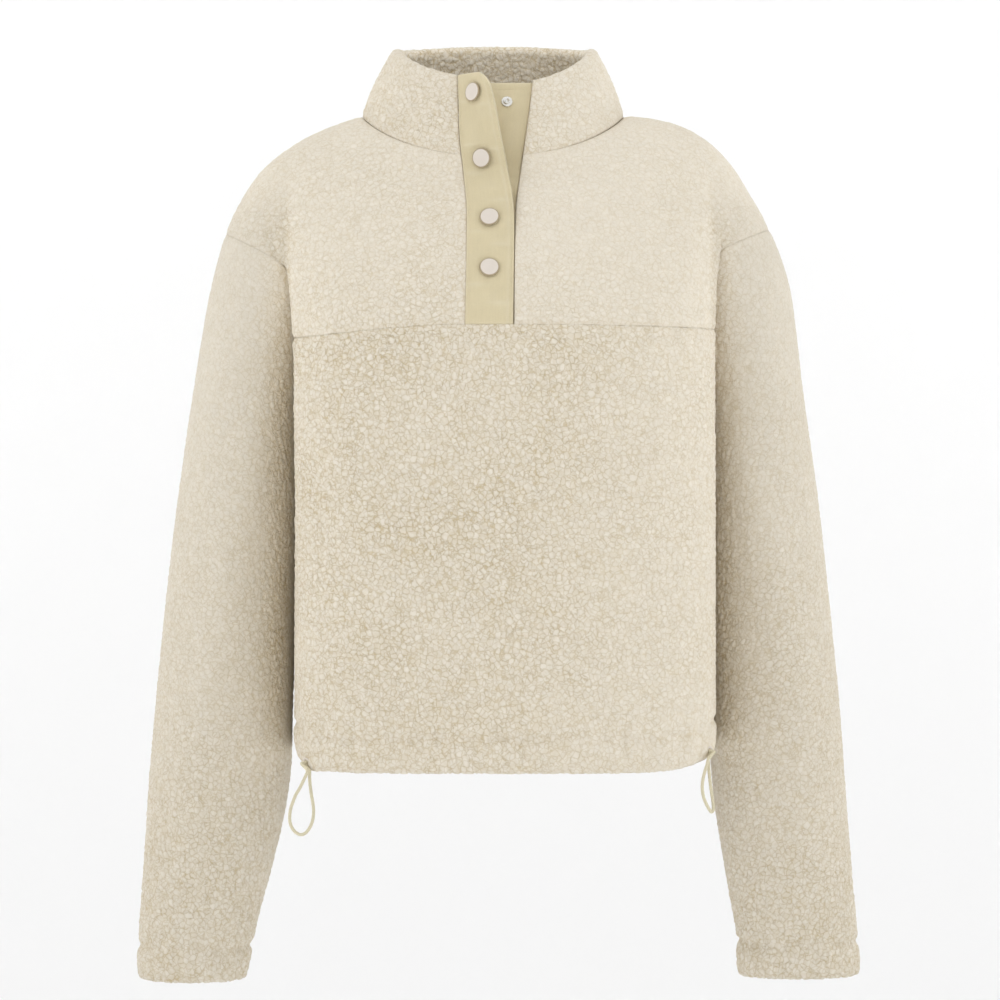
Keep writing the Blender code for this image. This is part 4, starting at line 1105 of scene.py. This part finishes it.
twillLook = {
    "light": (0.80, 0.71, 0.485, 1),
    "dark": (0.69, 0.595, 0.385, 1),
    # paler tone for the band's edges and for painted highlight on raised parts
    "worn": (0.80, 0.73, 0.56, 1),
    "threads": 0.0011,
}


# Cotton twill: fine diagonal ribs, worked out from the band's own across and up, paler along the band's
# edges and with painted highlight on its raised ridge and wrinkles
def twillMaterial(look, mottle, fibres):
    made, tree, shader = newMaterial("khakiTwill", 0.88, sheen=0.15, specular=0.25)
    across, up = attributeValue(tree, "across"), attributeValue(tree, "up")
    turn = 2 * math.pi / look["threads"]
    diagonal = maths(tree, "MULTIPLY", maths(tree, "ADD", across, maths(tree, "MULTIPLY", up, 1.6)), turn)
    ribs = maths(tree, "MULTIPLY", maths(tree, "ADD", maths(tree, "SINE", diagonal), 1.0), 0.5)
    wide, tall = maths(tree, "MULTIPLY", across, 900.0), maths(tree, "MULTIPLY", up, 60.0)
    slub = nodeIn(tree, "ShaderNodeCombineXYZ", {0: wide, 1: tall}).outputs[0]
    streak = maths(tree, "MULTIPLY", noiseIn(tree, slub, 1.0, 3.0)[0], 0.45)
    shade = maths(tree, "ADD", maths(tree, "MULTIPLY", ribs, 0.30), streak, True)
    colour = mixColour(tree, shade, look["dark"], look["light"])
    # Paler at the edges and painted highlight on raised parts
    worn = maths(tree, "MULTIPLY", attributeValue(tree, "worn"), 0.35)
    colour = mixColour(tree, worn, colour, look["worn"])
    tree.links.new(mottled(tree, mottle, colour, 60.0, 0.12), shader["Base Color"])
    hair = useGroup(tree, fibres, {"Scale": 1500.0})["Height"]
    height = maths(tree, "ADD", ribs, maths(tree, "MULTIPLY", hair, 0.5))
    bumped(tree, shader, height, 0.00025, 0.7)
    return made


# Matt enamel: nearly even, a little rough, with a faint grain, and a dark tan line painted at the cap's rim
# as painted shadow between cap and cloth
def enamelMaterial(mottle, fibres):
    made, tree, shader = newMaterial("creamEnamel", 0.42)
    # Painted shadow: the marked rim turns dark tan, standing in for the shadow between cap and cloth
    rim = maths(tree, "MULTIPLY", attributeValue(tree, "rim"), 0.85)
    colour = mixColour(tree, rim, (0.71, 0.645, 0.575, 1), (0.34, 0.26, 0.14, 1))
    tree.links.new(mottled(tree, mottle, colour, 90.0, 0.06), shader["Base Color"])
    grain = useGroup(tree, fibres, {"Scale": 900.0})["Height"]
    tree.links.new(rampValue(tree, grain, -1.0, 2.6), shader["Roughness"])
    bumped(tree, shader, grain, 0.00004, 0.5)
    return made


# Bare nickel with fine scuffs
def metalMaterial(mottle, fibres):
    made, tree, shader = newMaterial("bareNickel", 0.25, metallic=1.0)
    tree.links.new(mottled(tree, mottle, (0.78, 0.77, 0.74, 1), 200.0, 0.15), shader["Base Color"])
    scuffs = useGroup(tree, fibres, {"Scale": 1100.0})["Height"]
    tree.links.new(rampValue(tree, scuffs, -0.6, 3.0), shader["Roughness"])
    return made


# Braided cord: two sets of crossing strands, from how far along and how far round; darker in the grooves
# between strands, as painted shade
def braidMaterial(mottle, fibres):
    made, tree, shader = newMaterial("khakiBraid", 0.8, sheen=0.15, specular=0.3)
    strand = attributeValue(tree, "strand")
    # Painted shade: darker where the strands dip, lighter on their tops
    colour = mixColour(tree, strand, (0.58, 0.52, 0.36, 1), (0.80, 0.75, 0.57, 1))
    tree.links.new(mottled(tree, mottle, colour, 120.0, 0.18), shader["Base Color"])
    hair = useGroup(tree, fibres, {"Scale": 1600.0})["Height"]
    bumped(tree, shader, hair, 0.0002, 0.6)
    return made


mottle, fibres = mottleGroup(), fibreGroup()
sherpaFinish = sherpaMaterial(sherpaLook, mottle, fibres)
twillFinish = twillMaterial(twillLook, mottle, fibres)
enamelFinish = enamelMaterial(mottle, fibres)
metalFinish = metalMaterial(mottle, fibres)
braidFinish = braidMaterial(mottle, fibres)
print("materials made")


# Drawcord: each loop leaves an eyelet, hangs and goes back into it
cord = {
    "diameter": 0.0025,
    "apart": 0.0026,
    "out": 0.0026,
    "over": 0.0050,
    "lift": 0.0008,
    "hole": 0.0031,
    "ring": 0.0047,
    "strands": 5,
    "pitch": 0.0060,
    "around": 15,
}
eyelets = {
    "left": {
        "middle": (-0.14482, -0.08496, -0.49174),
        "up": (-0.2474, -0.1670, 0.9544),
        "normal": (-0.7545, -0.5848, -0.2979),
    },
    "right": {
        "middle": (0.15669, -0.08526, -0.48315),
        "up": (0.1997, -0.1655, 0.9658),
        "normal": (0.7427, -0.6173, -0.2594),
    },
}
# Steps from the eyelet's middle in millimetres: to the side, to the front and up
loops = {
    "left": (
        (-0.6, 8.2, -5.3), (-2.8, 7.8, -11.4), (-6.3, 7.0, -18.6), (-9.2, 6.3, -23.5), (-11.4, 5.7, -28.8),
        (-13.2, 5.1, -34.1), (-14.0, 4.6, -39.4), (-13.8, 4.2, -44.7), (-12.0, 4.0, -49.4),
        (-8.9, 3.9, -52.8), (-5.3, 3.8, -54.1), (-1.4, 3.8, -52.2), (2.1, 3.8, -46.8), (3.8, 3.8, -40.2),
        (3.8, 3.9, -32.8), (2.4, 4.1, -24.0), (1.4, 4.3, -16.7), (1.0, 4.6, -10.6), (0.8, 4.9, -5.3),
    ),
    "right": (
        (0.6, 8.4, -5.0), (-0.6, 8.6, -9.5), (-2.2, 8.8, -14.5), (-3.6, 8.9, -20.0), (-4.2, 8.8, -26.5),
        (-3.4, 8.3, -33.0), (-1.4, 7.4, -38.6), (1.0, 6.4, -43.0), (3.0, 5.2, -45.4), (4.4, 4.2, -43.6),
        (4.2, 3.6, -38.0), (3.0, 3.5, -30.0), (2.0, 3.7, -22.5), (1.2, 4.1, -14.5), (0.8, 4.5, -8.5),
        (0.6, 4.7, -4.8),
    ),
}


# Smooth line through listed points: a Catmull-Rom curve, in even steps
def smoothLine(points, step):
    ends = np.concatenate([2 * points[:1] - points[1:2], points, 2 * points[-1:] - points[-2:-1]])
    t = np.linspace(0, 1, 12, endpoint=False)[None, :, None]
    a, b, c, d = (ends[k : k + len(points) - 1, None] for k in range(4))
    squared, cubed = 2 * a - 5 * b + 4 * c - d, 3 * b - a - 3 * c + d
    fine = 0.5 * (2 * b + (c - a) * t + squared * t**2 + cubed * t**3)
    fine = np.concatenate([fine.reshape(-1, 3), points[-1:]])
    length = np.linalg.norm(np.diff(fine, axis=0), axis=1).sum()
    return resample(fine, np.linspace(0, 1, round(length / step) + 1))


def eyeletFrame(eyelet):  # unit directions along the hem to the left, up and outward
    normal = unit(np.array(eyelet["normal"]))
    side = unit(np.cross(np.array(eyelet["up"]), normal))
    up = np.cross(normal, side)
    return np.array(eyelet["middle"]), side if side[0] < 0 else -side, up, normal


# Route of a cord: out of the upper half of its eyelet, round its loop and back into the lower half
def cordLine(eyelet, loop):
    middle, _, up, normal = eyeletFrame(eyelet)
    start = middle + normal * (cord["lift"] + cord["diameter"] * 0.15)
    apart = up * cord["apart"] / 2
    leaving = [start + apart + normal * step for step in (0, cord["out"], cord["over"])]
    hanging = [middle + np.array((dx, -dy, dz)) / 1000 for dx, dy, dz in loop]
    back = [start - apart + normal * cord["out"], start - apart]
    return smoothLine(np.array([*leaving, *hanging, *back]), 0.0006)


# Tube of braided strands: the radius rises and falls with two crossing spirals
def drawcord(name, line, node):
    along = np.concatenate([[0.0], np.cumsum(np.linalg.norm(np.diff(line, axis=0), axis=1))])
    heading = unit(np.gradient(line, axis=0))
    side = unit(np.cross(heading, (0.0, 1.0, 0.0)))
    other = np.cross(heading, side)
    turn = np.linspace(0, 2 * math.pi, cord["around"], endpoint=False)[None, :]
    spiral = 2 * math.pi * along[:, None] / cord["pitch"]
    strand = np.cos(cord["strands"] / 2 * turn + spiral) * np.cos(cord["strands"] / 2 * turn - spiral)
    radius = cord["diameter"] / 2 * (0.95 + 0.09 * np.abs(strand))
    points = line[:, None] + radius[..., None] * (
        side[:, None] * np.cos(turn)[..., None] + other[:, None] * np.sin(turn)[..., None]
    )
    rows, around = points.shape[:2]
    quads = gridFaces(rows, around, True)[: (rows - 1) * around]
    last = (rows - 1) * around
    ends = [fanFaces(0, around, rows * around), fanFaces(last, around, rows * around + 1)]
    everything = np.concatenate([points.reshape(-1, 3), line[[0, -1]]])
    # The strand value also paints shade into the braid's grooves
    marks = {"strand": np.concatenate([np.abs(strand).ravel(), [0.0, 0.0]])}
    made = meshObject(name, everything, quads, np.concatenate(ends), marks, braidFinish)
    place(made, "braid", node)
    path = [tuple(map(float, point)) for point in line[::5]]
    path = path if len(line) % 5 == 1 else [*path, tuple(map(float, line[-1]))]
    print(name, "length", round(float(along[-1]), 4))


for sideName in sides:
    line = cordLine(eyelets[sideName], loops[sideName])
    drawcord(sideName + "Cord", line, "drawcord_" + sideName)


# Panels of the body, from the same rows of points
leftFront = halfPanel("left", "front", upperEdge)
rightFront = halfPanel("right", "front", underEdge)
leftBack = halfPanel("left", "back", backMiddle)
rightBack = halfPanel("right", "back", backMiddle)
seamRow = body["shoulderRows"] + body["yokeStep"]
between = blend(
    leftFront[seamRow:, :1],
    rightFront[seamRow:, :1],
    np.linspace(0, 1, body["placketColumns"] + 1)[1:-1][None, :, None],
)
lowerFront = np.concatenate([leftFront[seamRow:, ::-1], between, rightFront[seamRow:]], axis=1)
wholeBack = np.concatenate([leftBack[:, ::-1], rightBack[:, 1:]], axis=1)
neckBase = np.concatenate([leftFront[0], wholeBack[0, 1:-1], rightFront[0, ::-1]])
print("section rows ready")

# Each piece's painted light and shade: a tint of painted shade in its sheltered strip, a multiplier from
# top to bottom, painted light in the shelter and painted shade beyond the chest fold
panel = {
    "centre": (0.0, 0.0), "ring": False, "turned": 0.0, "wall": 0.0065, "gather": 0.0, "gatherWave": 0.02,
    "relief": (0.6, 0.6), "fade": 0.0, "squeeze": 1.0, "paintedLightAndShade": (1.0, 1.0),
    "sheltered": 0.0, "paintedShelterShade": 0.0, "paintedLightInShelter": 0.0, "outer": 0.0,
}
yoke = {
    **panel, "step": 0.0013, "face": -1, "pucker": "bottom", "uprightLeft": True,
    # Painted shade: a tan tint in the shelter and darker cloth beyond the chest fold
    "sheltered": 0.5, "paintedShelterShade": 0.2, "outer": 0.09,
}
pieces = {
    "leftYoke": (leftFront[: seamRow + 1], {
        **yoke, "node": "front_yoke_left", "relief": (0.45, 0.70), "squeeze": 1.15,
    }),
    "rightYoke": (rightFront[: seamRow + 1], {
        **yoke, "node": "front_yoke_right", "relief": (0.40, 0.50), "squeeze": 1.4,
    }),
    "frontBody": (lowerFront, {
        **panel, "node": "front_body", "step": 0.00148, "face": -1, "pucker": "top",
        "turned": body["hemHeight"], "gather": 0.0009, "relief": (1.0, 0.9), "fade": 0.3,
    }),
    "backBody": (wholeBack, {
        **panel, "node": "back_body", "step": 0.0020, "face": 1,
        "turned": body["hemHeight"], "gather": 0.0009, "relief": (0.8, 0.9),
    }),
    "standCollar": (collarGrid(neckBase), {
        **panel, "node": "collar", "step": 0.0014, "centre": (collar["x"], neck["y"]),
        "wall": collar["wall"], "folded": True, "uprightLeft": True, "uprightRight": True,
        "relief": (0.8, 0.7), "fade": 0.4, "inside": 1.1,
    }),
}
for sideName, sign in sides.items():
    middle = float(armOval(sideName, -0.35)[0])
    pieces[sideName + "Sleeve"] = (sleeveGrid(sideName), {
        **panel, "node": "sleeve_" + sideName, "step": 0.00165,
        "centre": (sign * middle, sleeve["middleY"]), "ring": True, "face": -1,
        "turned": sleeve["cuffHeight"], "gather": 0.0006, "gatherWave": 0.016,
        # Painted shade: the sleeves are darker, most at the top, with a tan tint and painted light in the
        # strip beside the body
        "relief": (0.4, 1.0), "paintedLightAndShade": (0.88, 0.94), "sheltered": 1.0, "paintedShelterShade": 0.10, "paintedLightInShelter": 0.20,
    })
for name, (coarse, piece) in pieces.items():
    clothPiece(name, coarse, piece, sherpaFinish)


# Placket bands
def edgeSpaced(length, step, edge):  # even places along a length, closer together at both ends
    near = edge * np.array([0.0, 0.06, 0.2, 0.45, 0.75])
    between = np.linspace(edge, length - edge, round((length - 2 * edge) / step))
    return np.concatenate([near, between, length - near[::-1]])


# Wrinkles across the upper band: their middle, reach, width and height in millimetres
wrinkles = columns(
    "s z reach width height",
    (9, 11, 9, 1.6, 0.5),
    (24, 8, 8, 1.8, 0.45),
    (8, -23, 8, 1.7, 0.4),
    (27, -27, 9, 1.5, 0.55),
    (26, -38, 9, 1.4, -0.5),
    (8, -45, 9, 2.0, 0.4),
    (26, -66, 8, 1.8, 0.4),
    (9, -91, 9, 1.7, 0.4),
    (27, -101, 8, 1.6, 0.45),
    (10, -132, 9, 1.9, 0.4),
    (25, -146, 9, 2.0, 0.4),
)
capSpec = {
    "radius": 0.0075,
    "fromEdge": 0.0175,
    "heights": (0.0179, -0.033, -0.080, -0.119),
    "gap": 0.0003,
}
studSpec = {"radius": 0.0043, "fromEdge": 0.0180, "height": 0.0118}
bands = {
    "upperBand": {
        "node": "placket_upper", "point": bandPoint, "width": placket["width"], "top": placket["top"],
        "corner": 0.0120, "ridge": 0.0042, "topHem": 0.0, "snaps": capSpec["heights"],
    },
    "underBand": {
        "node": "placket_under", "point": underPoint, "width": placket["underWidth"],
        "top": placket["underTop"], "corner": 0.0, "ridge": 0.0, "topHem": 0.0056, "snaps": (),
    },
}


def bandRelief(band, s, z):  # ridge beside the free edge, wrinkles, dents under the caps and a top hem
    height = 0.00012 * softNoise(stack(s, 0.0, z), 0.007)
    if band["ridge"]:
        inside = band["width"] - s - band["ridge"]
        height = height + 0.00038 * np.exp(-((inside / 0.0011) ** 2))
        height = height - 0.0002 * np.exp(-(((inside + 0.002) / 0.001) ** 2))
        for k in range(len(wrinkles["s"])):
            across = (s * 1000 - wrinkles["s"][k]) / wrinkles["reach"][k]
            down = (z * 1000 - wrinkles["z"][k]) / wrinkles["width"][k]
            height = height + wrinkles["height"][k] / 1000 * np.exp(-(across**2) - down**2)
    for snapZ in band["snaps"]:
        away = np.hypot(s - capSpec["fromEdge"], z - snapZ)
        height = height - 0.0005 * np.exp(-(((away - 0.0082) / 0.0022) ** 2)) - 0.0004 * (away < 0.0075)
    if band["topHem"]:
        height = height - 0.00045 * np.exp(-(((band["top"] - z - band["topHem"]) / 0.0009) ** 2))
    return height


# A band is a flat tube: its faces round over to meet at half its thickness
def bandPiece(name, band):
    s = edgeSpaced(band["width"], 0.00095, 0.0016)[None, :]
    down = edgeSpaced(band["top"] - body["yokeSeam"], 0.00115, 0.0016)[:, None]
    share = down / down[-1]
    top = band["top"]
    if band["corner"]:
        past = np.clip((s - band["width"] + band["corner"]) / band["corner"], 0, 1)
        top = top - band["corner"] * (1 - np.sqrt(1 - past**2))
    z = blend(top, body["yokeSeam"], share)
    s, z = np.broadcast_arrays(s, z)
    grid = band["point"](s, z)
    normals = normalsOf(grid, False, (0.0, 0.05))
    normals = np.where(normals[..., 1:2] < 0, normals, -normals)
    edges = edgeDistances(grid, False)
    nearest = np.minimum.reduce(edges)
    half = placket["wall"] / 2
    rounding = half * (1 - np.sqrt(1 - np.clip(1 - nearest / 0.0013, 0, 1) ** 2))
    height = bandRelief(band, s, z) * ease(nearest / 0.002)
    outer = grid + normals * (height - rounding)[..., None]
    back = np.arange(len(grid) - 2, 0, -1)
    back = back[(back % 3 == 1)]
    inner = grid[back] - normals[back] * (placket["wall"] - rounding[back])[..., None]
    rows = np.concatenate([outer, inner])
    keep = np.concatenate([np.arange(len(grid)), back])
    # Paler at the band's edges, and painted highlight on its raised ridge and wrinkles
    worn = np.exp(-((nearest / 0.0012) ** 2)) + 2000 * np.clip(height, 0, None)
    marks = {"across": s[keep], "up": z[keep], "worn": np.clip(worn, 0, 1)[keep]}
    made = shell(name, rows, len(grid) - 1, False, marks, twillFinish)
    place(made, "twill", band["node"])


for name, band in bands.items():
    bandPiece(name, band)


# Place on a band for a snap, flat and clear of the cloth under its rim
def onBand(point, s, z, radius):
    step = 0.002
    middle = point(s, z)
    side = unit(point(s + step, z) - point(s - step, z))
    up = point(s, z + step) - point(s, z - step)
    up = unit(up - side * (up @ side))
    normal = np.cross(side, up)
    normal = normal if normal[1] < 0 else -normal
    turn = np.linspace(0, 2 * math.pi, 24, endpoint=False)
    under = [point(s + r * np.cos(turn), z + r * np.sin(turn)) for r in (radius, radius * 0.6)]
    lift = max(0.0, float(((np.concatenate(under) - middle) @ normal).max()))
    return middle + normal * lift, side, up, normal


# Turned part: a profile of radius and rise carried round its axis, with its two ends closed at the axis
def turnedPart(name, frame, profile, finish, count, slot, node, marks=None):
    middle, side, up, normal = frame
    profile = np.array(profile)
    turn = np.linspace(0, 2 * math.pi, count, endpoint=False)[None, :, None]
    radius, rise = profile[:, 0, None, None], profile[:, 1, None, None]
    points = middle + radius * (np.cos(turn) * side + np.sin(turn) * up) + rise * normal
    rows = len(profile)
    if profile[0, 0] < 0.0002:
        last = (rows - 1) * count
        quads = gridFaces(rows, count, True)[:last]
        caps = [fanFaces(0, count, rows * count), fanFaces(last, count, rows * count + 1)]
        caps = np.concatenate(caps)
        ends = middle + profile[[0, -1], 1][:, None] * normal
        points = np.concatenate([points.reshape(-1, 3), ends])
    else:
        quads, caps = gridFaces(rows, count, True), ()
    made = meshObject(name, points.reshape(-1, 3), quads, caps, marks, finish)
    place(made, slot, node)
    return made


def roundOver(start, end, bulge, count):  # points on a quarter turn between two places of a profile
    t = np.linspace(0, math.pi / 2, count)
    quick, slow = np.sin(t), 1 - np.cos(t)
    out, rise = (quick, slow) if bulge else (slow, quick)
    return [*zip(start[0] + (end[0] - start[0]) * out, start[1] + (end[1] - start[1]) * rise)]


# Snap caps: a shallow dome with a rolled rim
def capProfile(r, gap):
    under = [(0.0001, gap), (r * 0.5, gap), (r * 0.90, gap)]
    rim = roundOver((r * 0.90, gap), (r, gap + 0.0008), True, 5)[1:]
    edge = roundOver((r, gap + 0.0008), (r * 0.86, gap + 0.00155), False, 6)[1:]
    shares = (0.8, 0.66, 0.5, 0.33, 0.16)
    dome = [(r * share, gap + 0.00155 + 0.00055 * (1 - (share / 0.86) ** 2)) for share in shares]
    return [*under, *rim, *edge, *dome, (0.0001, gap + 0.0021)]


capShape = capProfile(capSpec["radius"], capSpec["gap"])
# Painted shadow: the rings of the cap's outer edge are marked for a dark tan line
rimShadowRings = [float(0.86 * capSpec["radius"] < r) for r, _ in capShape]
rim = {"rim": np.concatenate([np.repeat(rimShadowRings, 48), [0.0, 0.0]])}
for number, height in enumerate(capSpec["heights"], 1):
    capFrame = onBand(bandPoint, capSpec["fromEdge"], height, capSpec["radius"])
    node = f"snap_cap_{number}"
    turnedPart(f"snapCap{number}", capFrame, capShape, enamelFinish, 48, "enamel", node, rim)


def studProfile(r, gap):  # a flanged ring round a raised post with a hollow end
    post = [(r * 0.60, 0.0011), (r * 0.56, 0.0014), (r * 0.60, 0.0020), (r * 0.54, 0.0024)]
    hollow = [(r * 0.38, 0.0023), (r * 0.32, 0.0017), (r * 0.16, 0.0013)]
    flange = [(r * 0.9, 0.0), (r, 0.0003), (r * 0.99, 0.0007), (r * 0.9, 0.0010), (r * 0.74, 0.0008)]
    return [(0.0001, gap), *((a, gap + b) for a, b in [*flange, *post, *hollow]), (0.0001, gap + 0.0012)]


studFrame = onBand(underPoint, studSpec["fromEdge"], studSpec["height"], studSpec["radius"])
studShape = studProfile(studSpec["radius"], capSpec["gap"])
turnedPart("snapStud", studFrame, studShape, metalFinish, 48, "metal", "snap_stud")


def eyeletProfile(hole, outer, lift):  # a closed ring with a rounded top
    turn = np.linspace(0, 2 * math.pi, 14, endpoint=False)
    half, rise = (outer - hole) / 2, 0.0006
    return [(hole + half * (1 - math.cos(a)), lift + rise + rise * math.sin(a)) for a in turn]


ringShape = eyeletProfile(cord["hole"], cord["ring"], cord["lift"])
for sideName in sides:
    ringFrame, node = eyeletFrame(eyelets[sideName]), "cord_eyelet_" + sideName
    turnedPart(sideName + "Eyelet", ringFrame, ringShape, enamelFinish, 40, "enamel", node)
print("trims made")


# Topstitches: short round threads laid along a line of a band
def stitches(name, band, lines):
    count, rings = 6, 5
    centres, tangents, outs = [], [], []
    for s, z in lines:
        line = band["point"](s, z)
        step = band["point"](s + 0.0004, z) - band["point"](s - 0.0004, z)
        rise = band["point"](s, z + 0.0004) - band["point"](s, z - 0.0004)
        out = unit(np.cross(step, rise))
        out = np.where(out[:, 1:2] < 0, out, -out)
        centres.append(line + out * bandRelief(band, s, z)[:, None])
        tangents.append(unit(np.gradient(line, axis=0)))
        outs.append(out)
    centre, heading, out = (np.concatenate(v)[:, None, None] for v in (centres, tangents, outs))
    across = np.cross(heading, out)
    t = np.linspace(-1, 1, rings)[None, :, None, None]
    turn = np.linspace(0, 2 * math.pi, count, endpoint=False)[None, None, :, None]
    radius = 0.00028 * np.sqrt(np.maximum(1 - t**4, 0.02))
    arch = 0.00030 * (1 - t**2) - 0.0001
    points = centre + heading * t * 0.00105
    points = points + out * (arch + radius * np.cos(turn)) + across * radius * np.sin(turn)
    total = points.shape[0]
    quads = gridFaces(rings, count, True)[: (rings - 1) * count]
    quads = (quads[None] + (np.arange(total) * rings * count)[:, None, None]).reshape(-1, 4)
    fan = np.array([[0, 1, 2], [0, 2, 3], [0, 3, 4], [0, 4, 5]])
    fans = np.concatenate([fan, fan[:, ::-1] + (rings - 1) * count])
    fans = (fans[None] + (np.arange(total) * rings * count)[:, None, None]).reshape(-1, 3)
    flat = points.reshape(-1, 3)
    marks = {"across": flat[:, 0], "up": flat[:, 2], "worn": np.full(len(flat), 0.6)}
    made = meshObject(name, flat, quads, fans, marks, twillFinish)
    place(made, "twill")


upper, under = bands["upperBand"], bands["underBand"]
downUpper = np.arange(body["yokeSeam"] + 0.003, upper["top"] - 0.004, 0.0030)
acrossUnder = np.arange(0.003, under["width"] - 0.002, 0.0026)
stitches("upperStitches", upper, [
    (np.full(len(downUpper), 0.0022), downUpper),
    (np.full(len(downUpper) - 2, upper["width"] - 0.0020), downUpper[:-2]),
])
onTopHem = np.full(len(acrossUnder), under["top"] - under["topHem"])
stitches("underStitches", under, [(acrossUnder, onTopHem)])


# Stage: a pale floor that curves up behind, a soft key from the upper left, a fill and a lit backdrop
stage = {"floor": -1.15, "back": 2.6, "front": -5.0, "turn": 1.0, "height": 3.2, "half": 7.0}


def backdrop(s):  # floor, a quarter turn and a wall, carried across
    floor = [(s["front"], s["floor"]), (-1.0, s["floor"])]
    turn = np.linspace(0, math.pi / 2, 24)
    deep = s["back"] - s["turn"] + s["turn"] * np.sin(turn)
    rise = s["floor"] + s["turn"] * (1 - np.cos(turn))
    profile = np.array([*floor, *zip(deep, rise), (s["back"], s["height"])])
    x = np.linspace(-s["half"], s["half"], 15)[None, :]
    points = stack(x, profile[:, :1], profile[:, 1:])
    rows, across = points.shape[:2]
    quads = gridFaces(rows, across, False)[: (rows - 1) * (across - 1)]
    made, tree, shader = newMaterial("paleBackdrop", 0.9)
    noise = nodeIn(tree, "ShaderNodeTexNoise", {"Scale": 0.8}).outputs[0]
    colour = mixColour(tree, noise, (0.90, 0.90, 0.90, 1), (0.93, 0.93, 0.93, 1))
    tree.links.new(colour, shader["Base Color"])
    meshObject("backdrop", points.reshape(-1, 3), quads, (), None, made)


lights = columns(
    "x y z size power",
    (-2.2, -2.6, 0.9, 1.8, 52.0),
    (2.6, -2.2, 0.3, 2.4, 21.0),
    (0.3, -3.6, 0.0, 2.2, 84.0),
    (0.0, -0.6, 2.6, 2.0, 3.0),
)


# Round area light, turned to face its target
def aimedLight(name, position, target, size, power):
    data = bpy.data.lights.new(name, "AREA")
    data.shape = "DISK"
    data.size = size
    data.energy = power
    made = bpy.data.objects.new(name, data)
    made.location = position
    heading = np.array(target) - np.array(position)
    across = math.atan2(heading[0], -heading[1])
    made.rotation_euler = (math.atan2(math.hypot(heading[0], heading[1]), -heading[2]), 0.0, across)
    bpy.context.scene.collection.objects.link(made)


backdrop(stage)
for k in range(len(lights["x"])):
    where = (lights["x"][k], lights["y"][k], lights["z"][k])
    aimedLight(f"softLight{k}", where, (0.0, 0.0, -0.3), lights["size"][k], lights["power"][k])
for sign in (-1, 1):
    aimedLight(f"backLight{sign + 1}", (sign * 2.4, 0.9, -0.3), (sign * 0.3, 2.6, -0.3), 1.6, 160.0)
world = bpy.data.worlds.new("softRoom")
world.use_nodes = True
world.node_tree.nodes["Background"].inputs["Color"].default_value = (1.0, 1.0, 1.0, 1)
world.node_tree.nodes["Background"].inputs["Strength"].default_value = 1.0
bpy.context.scene.world = world
bpy.context.scene.view_settings.view_transform = "Standard"
print("stage set")
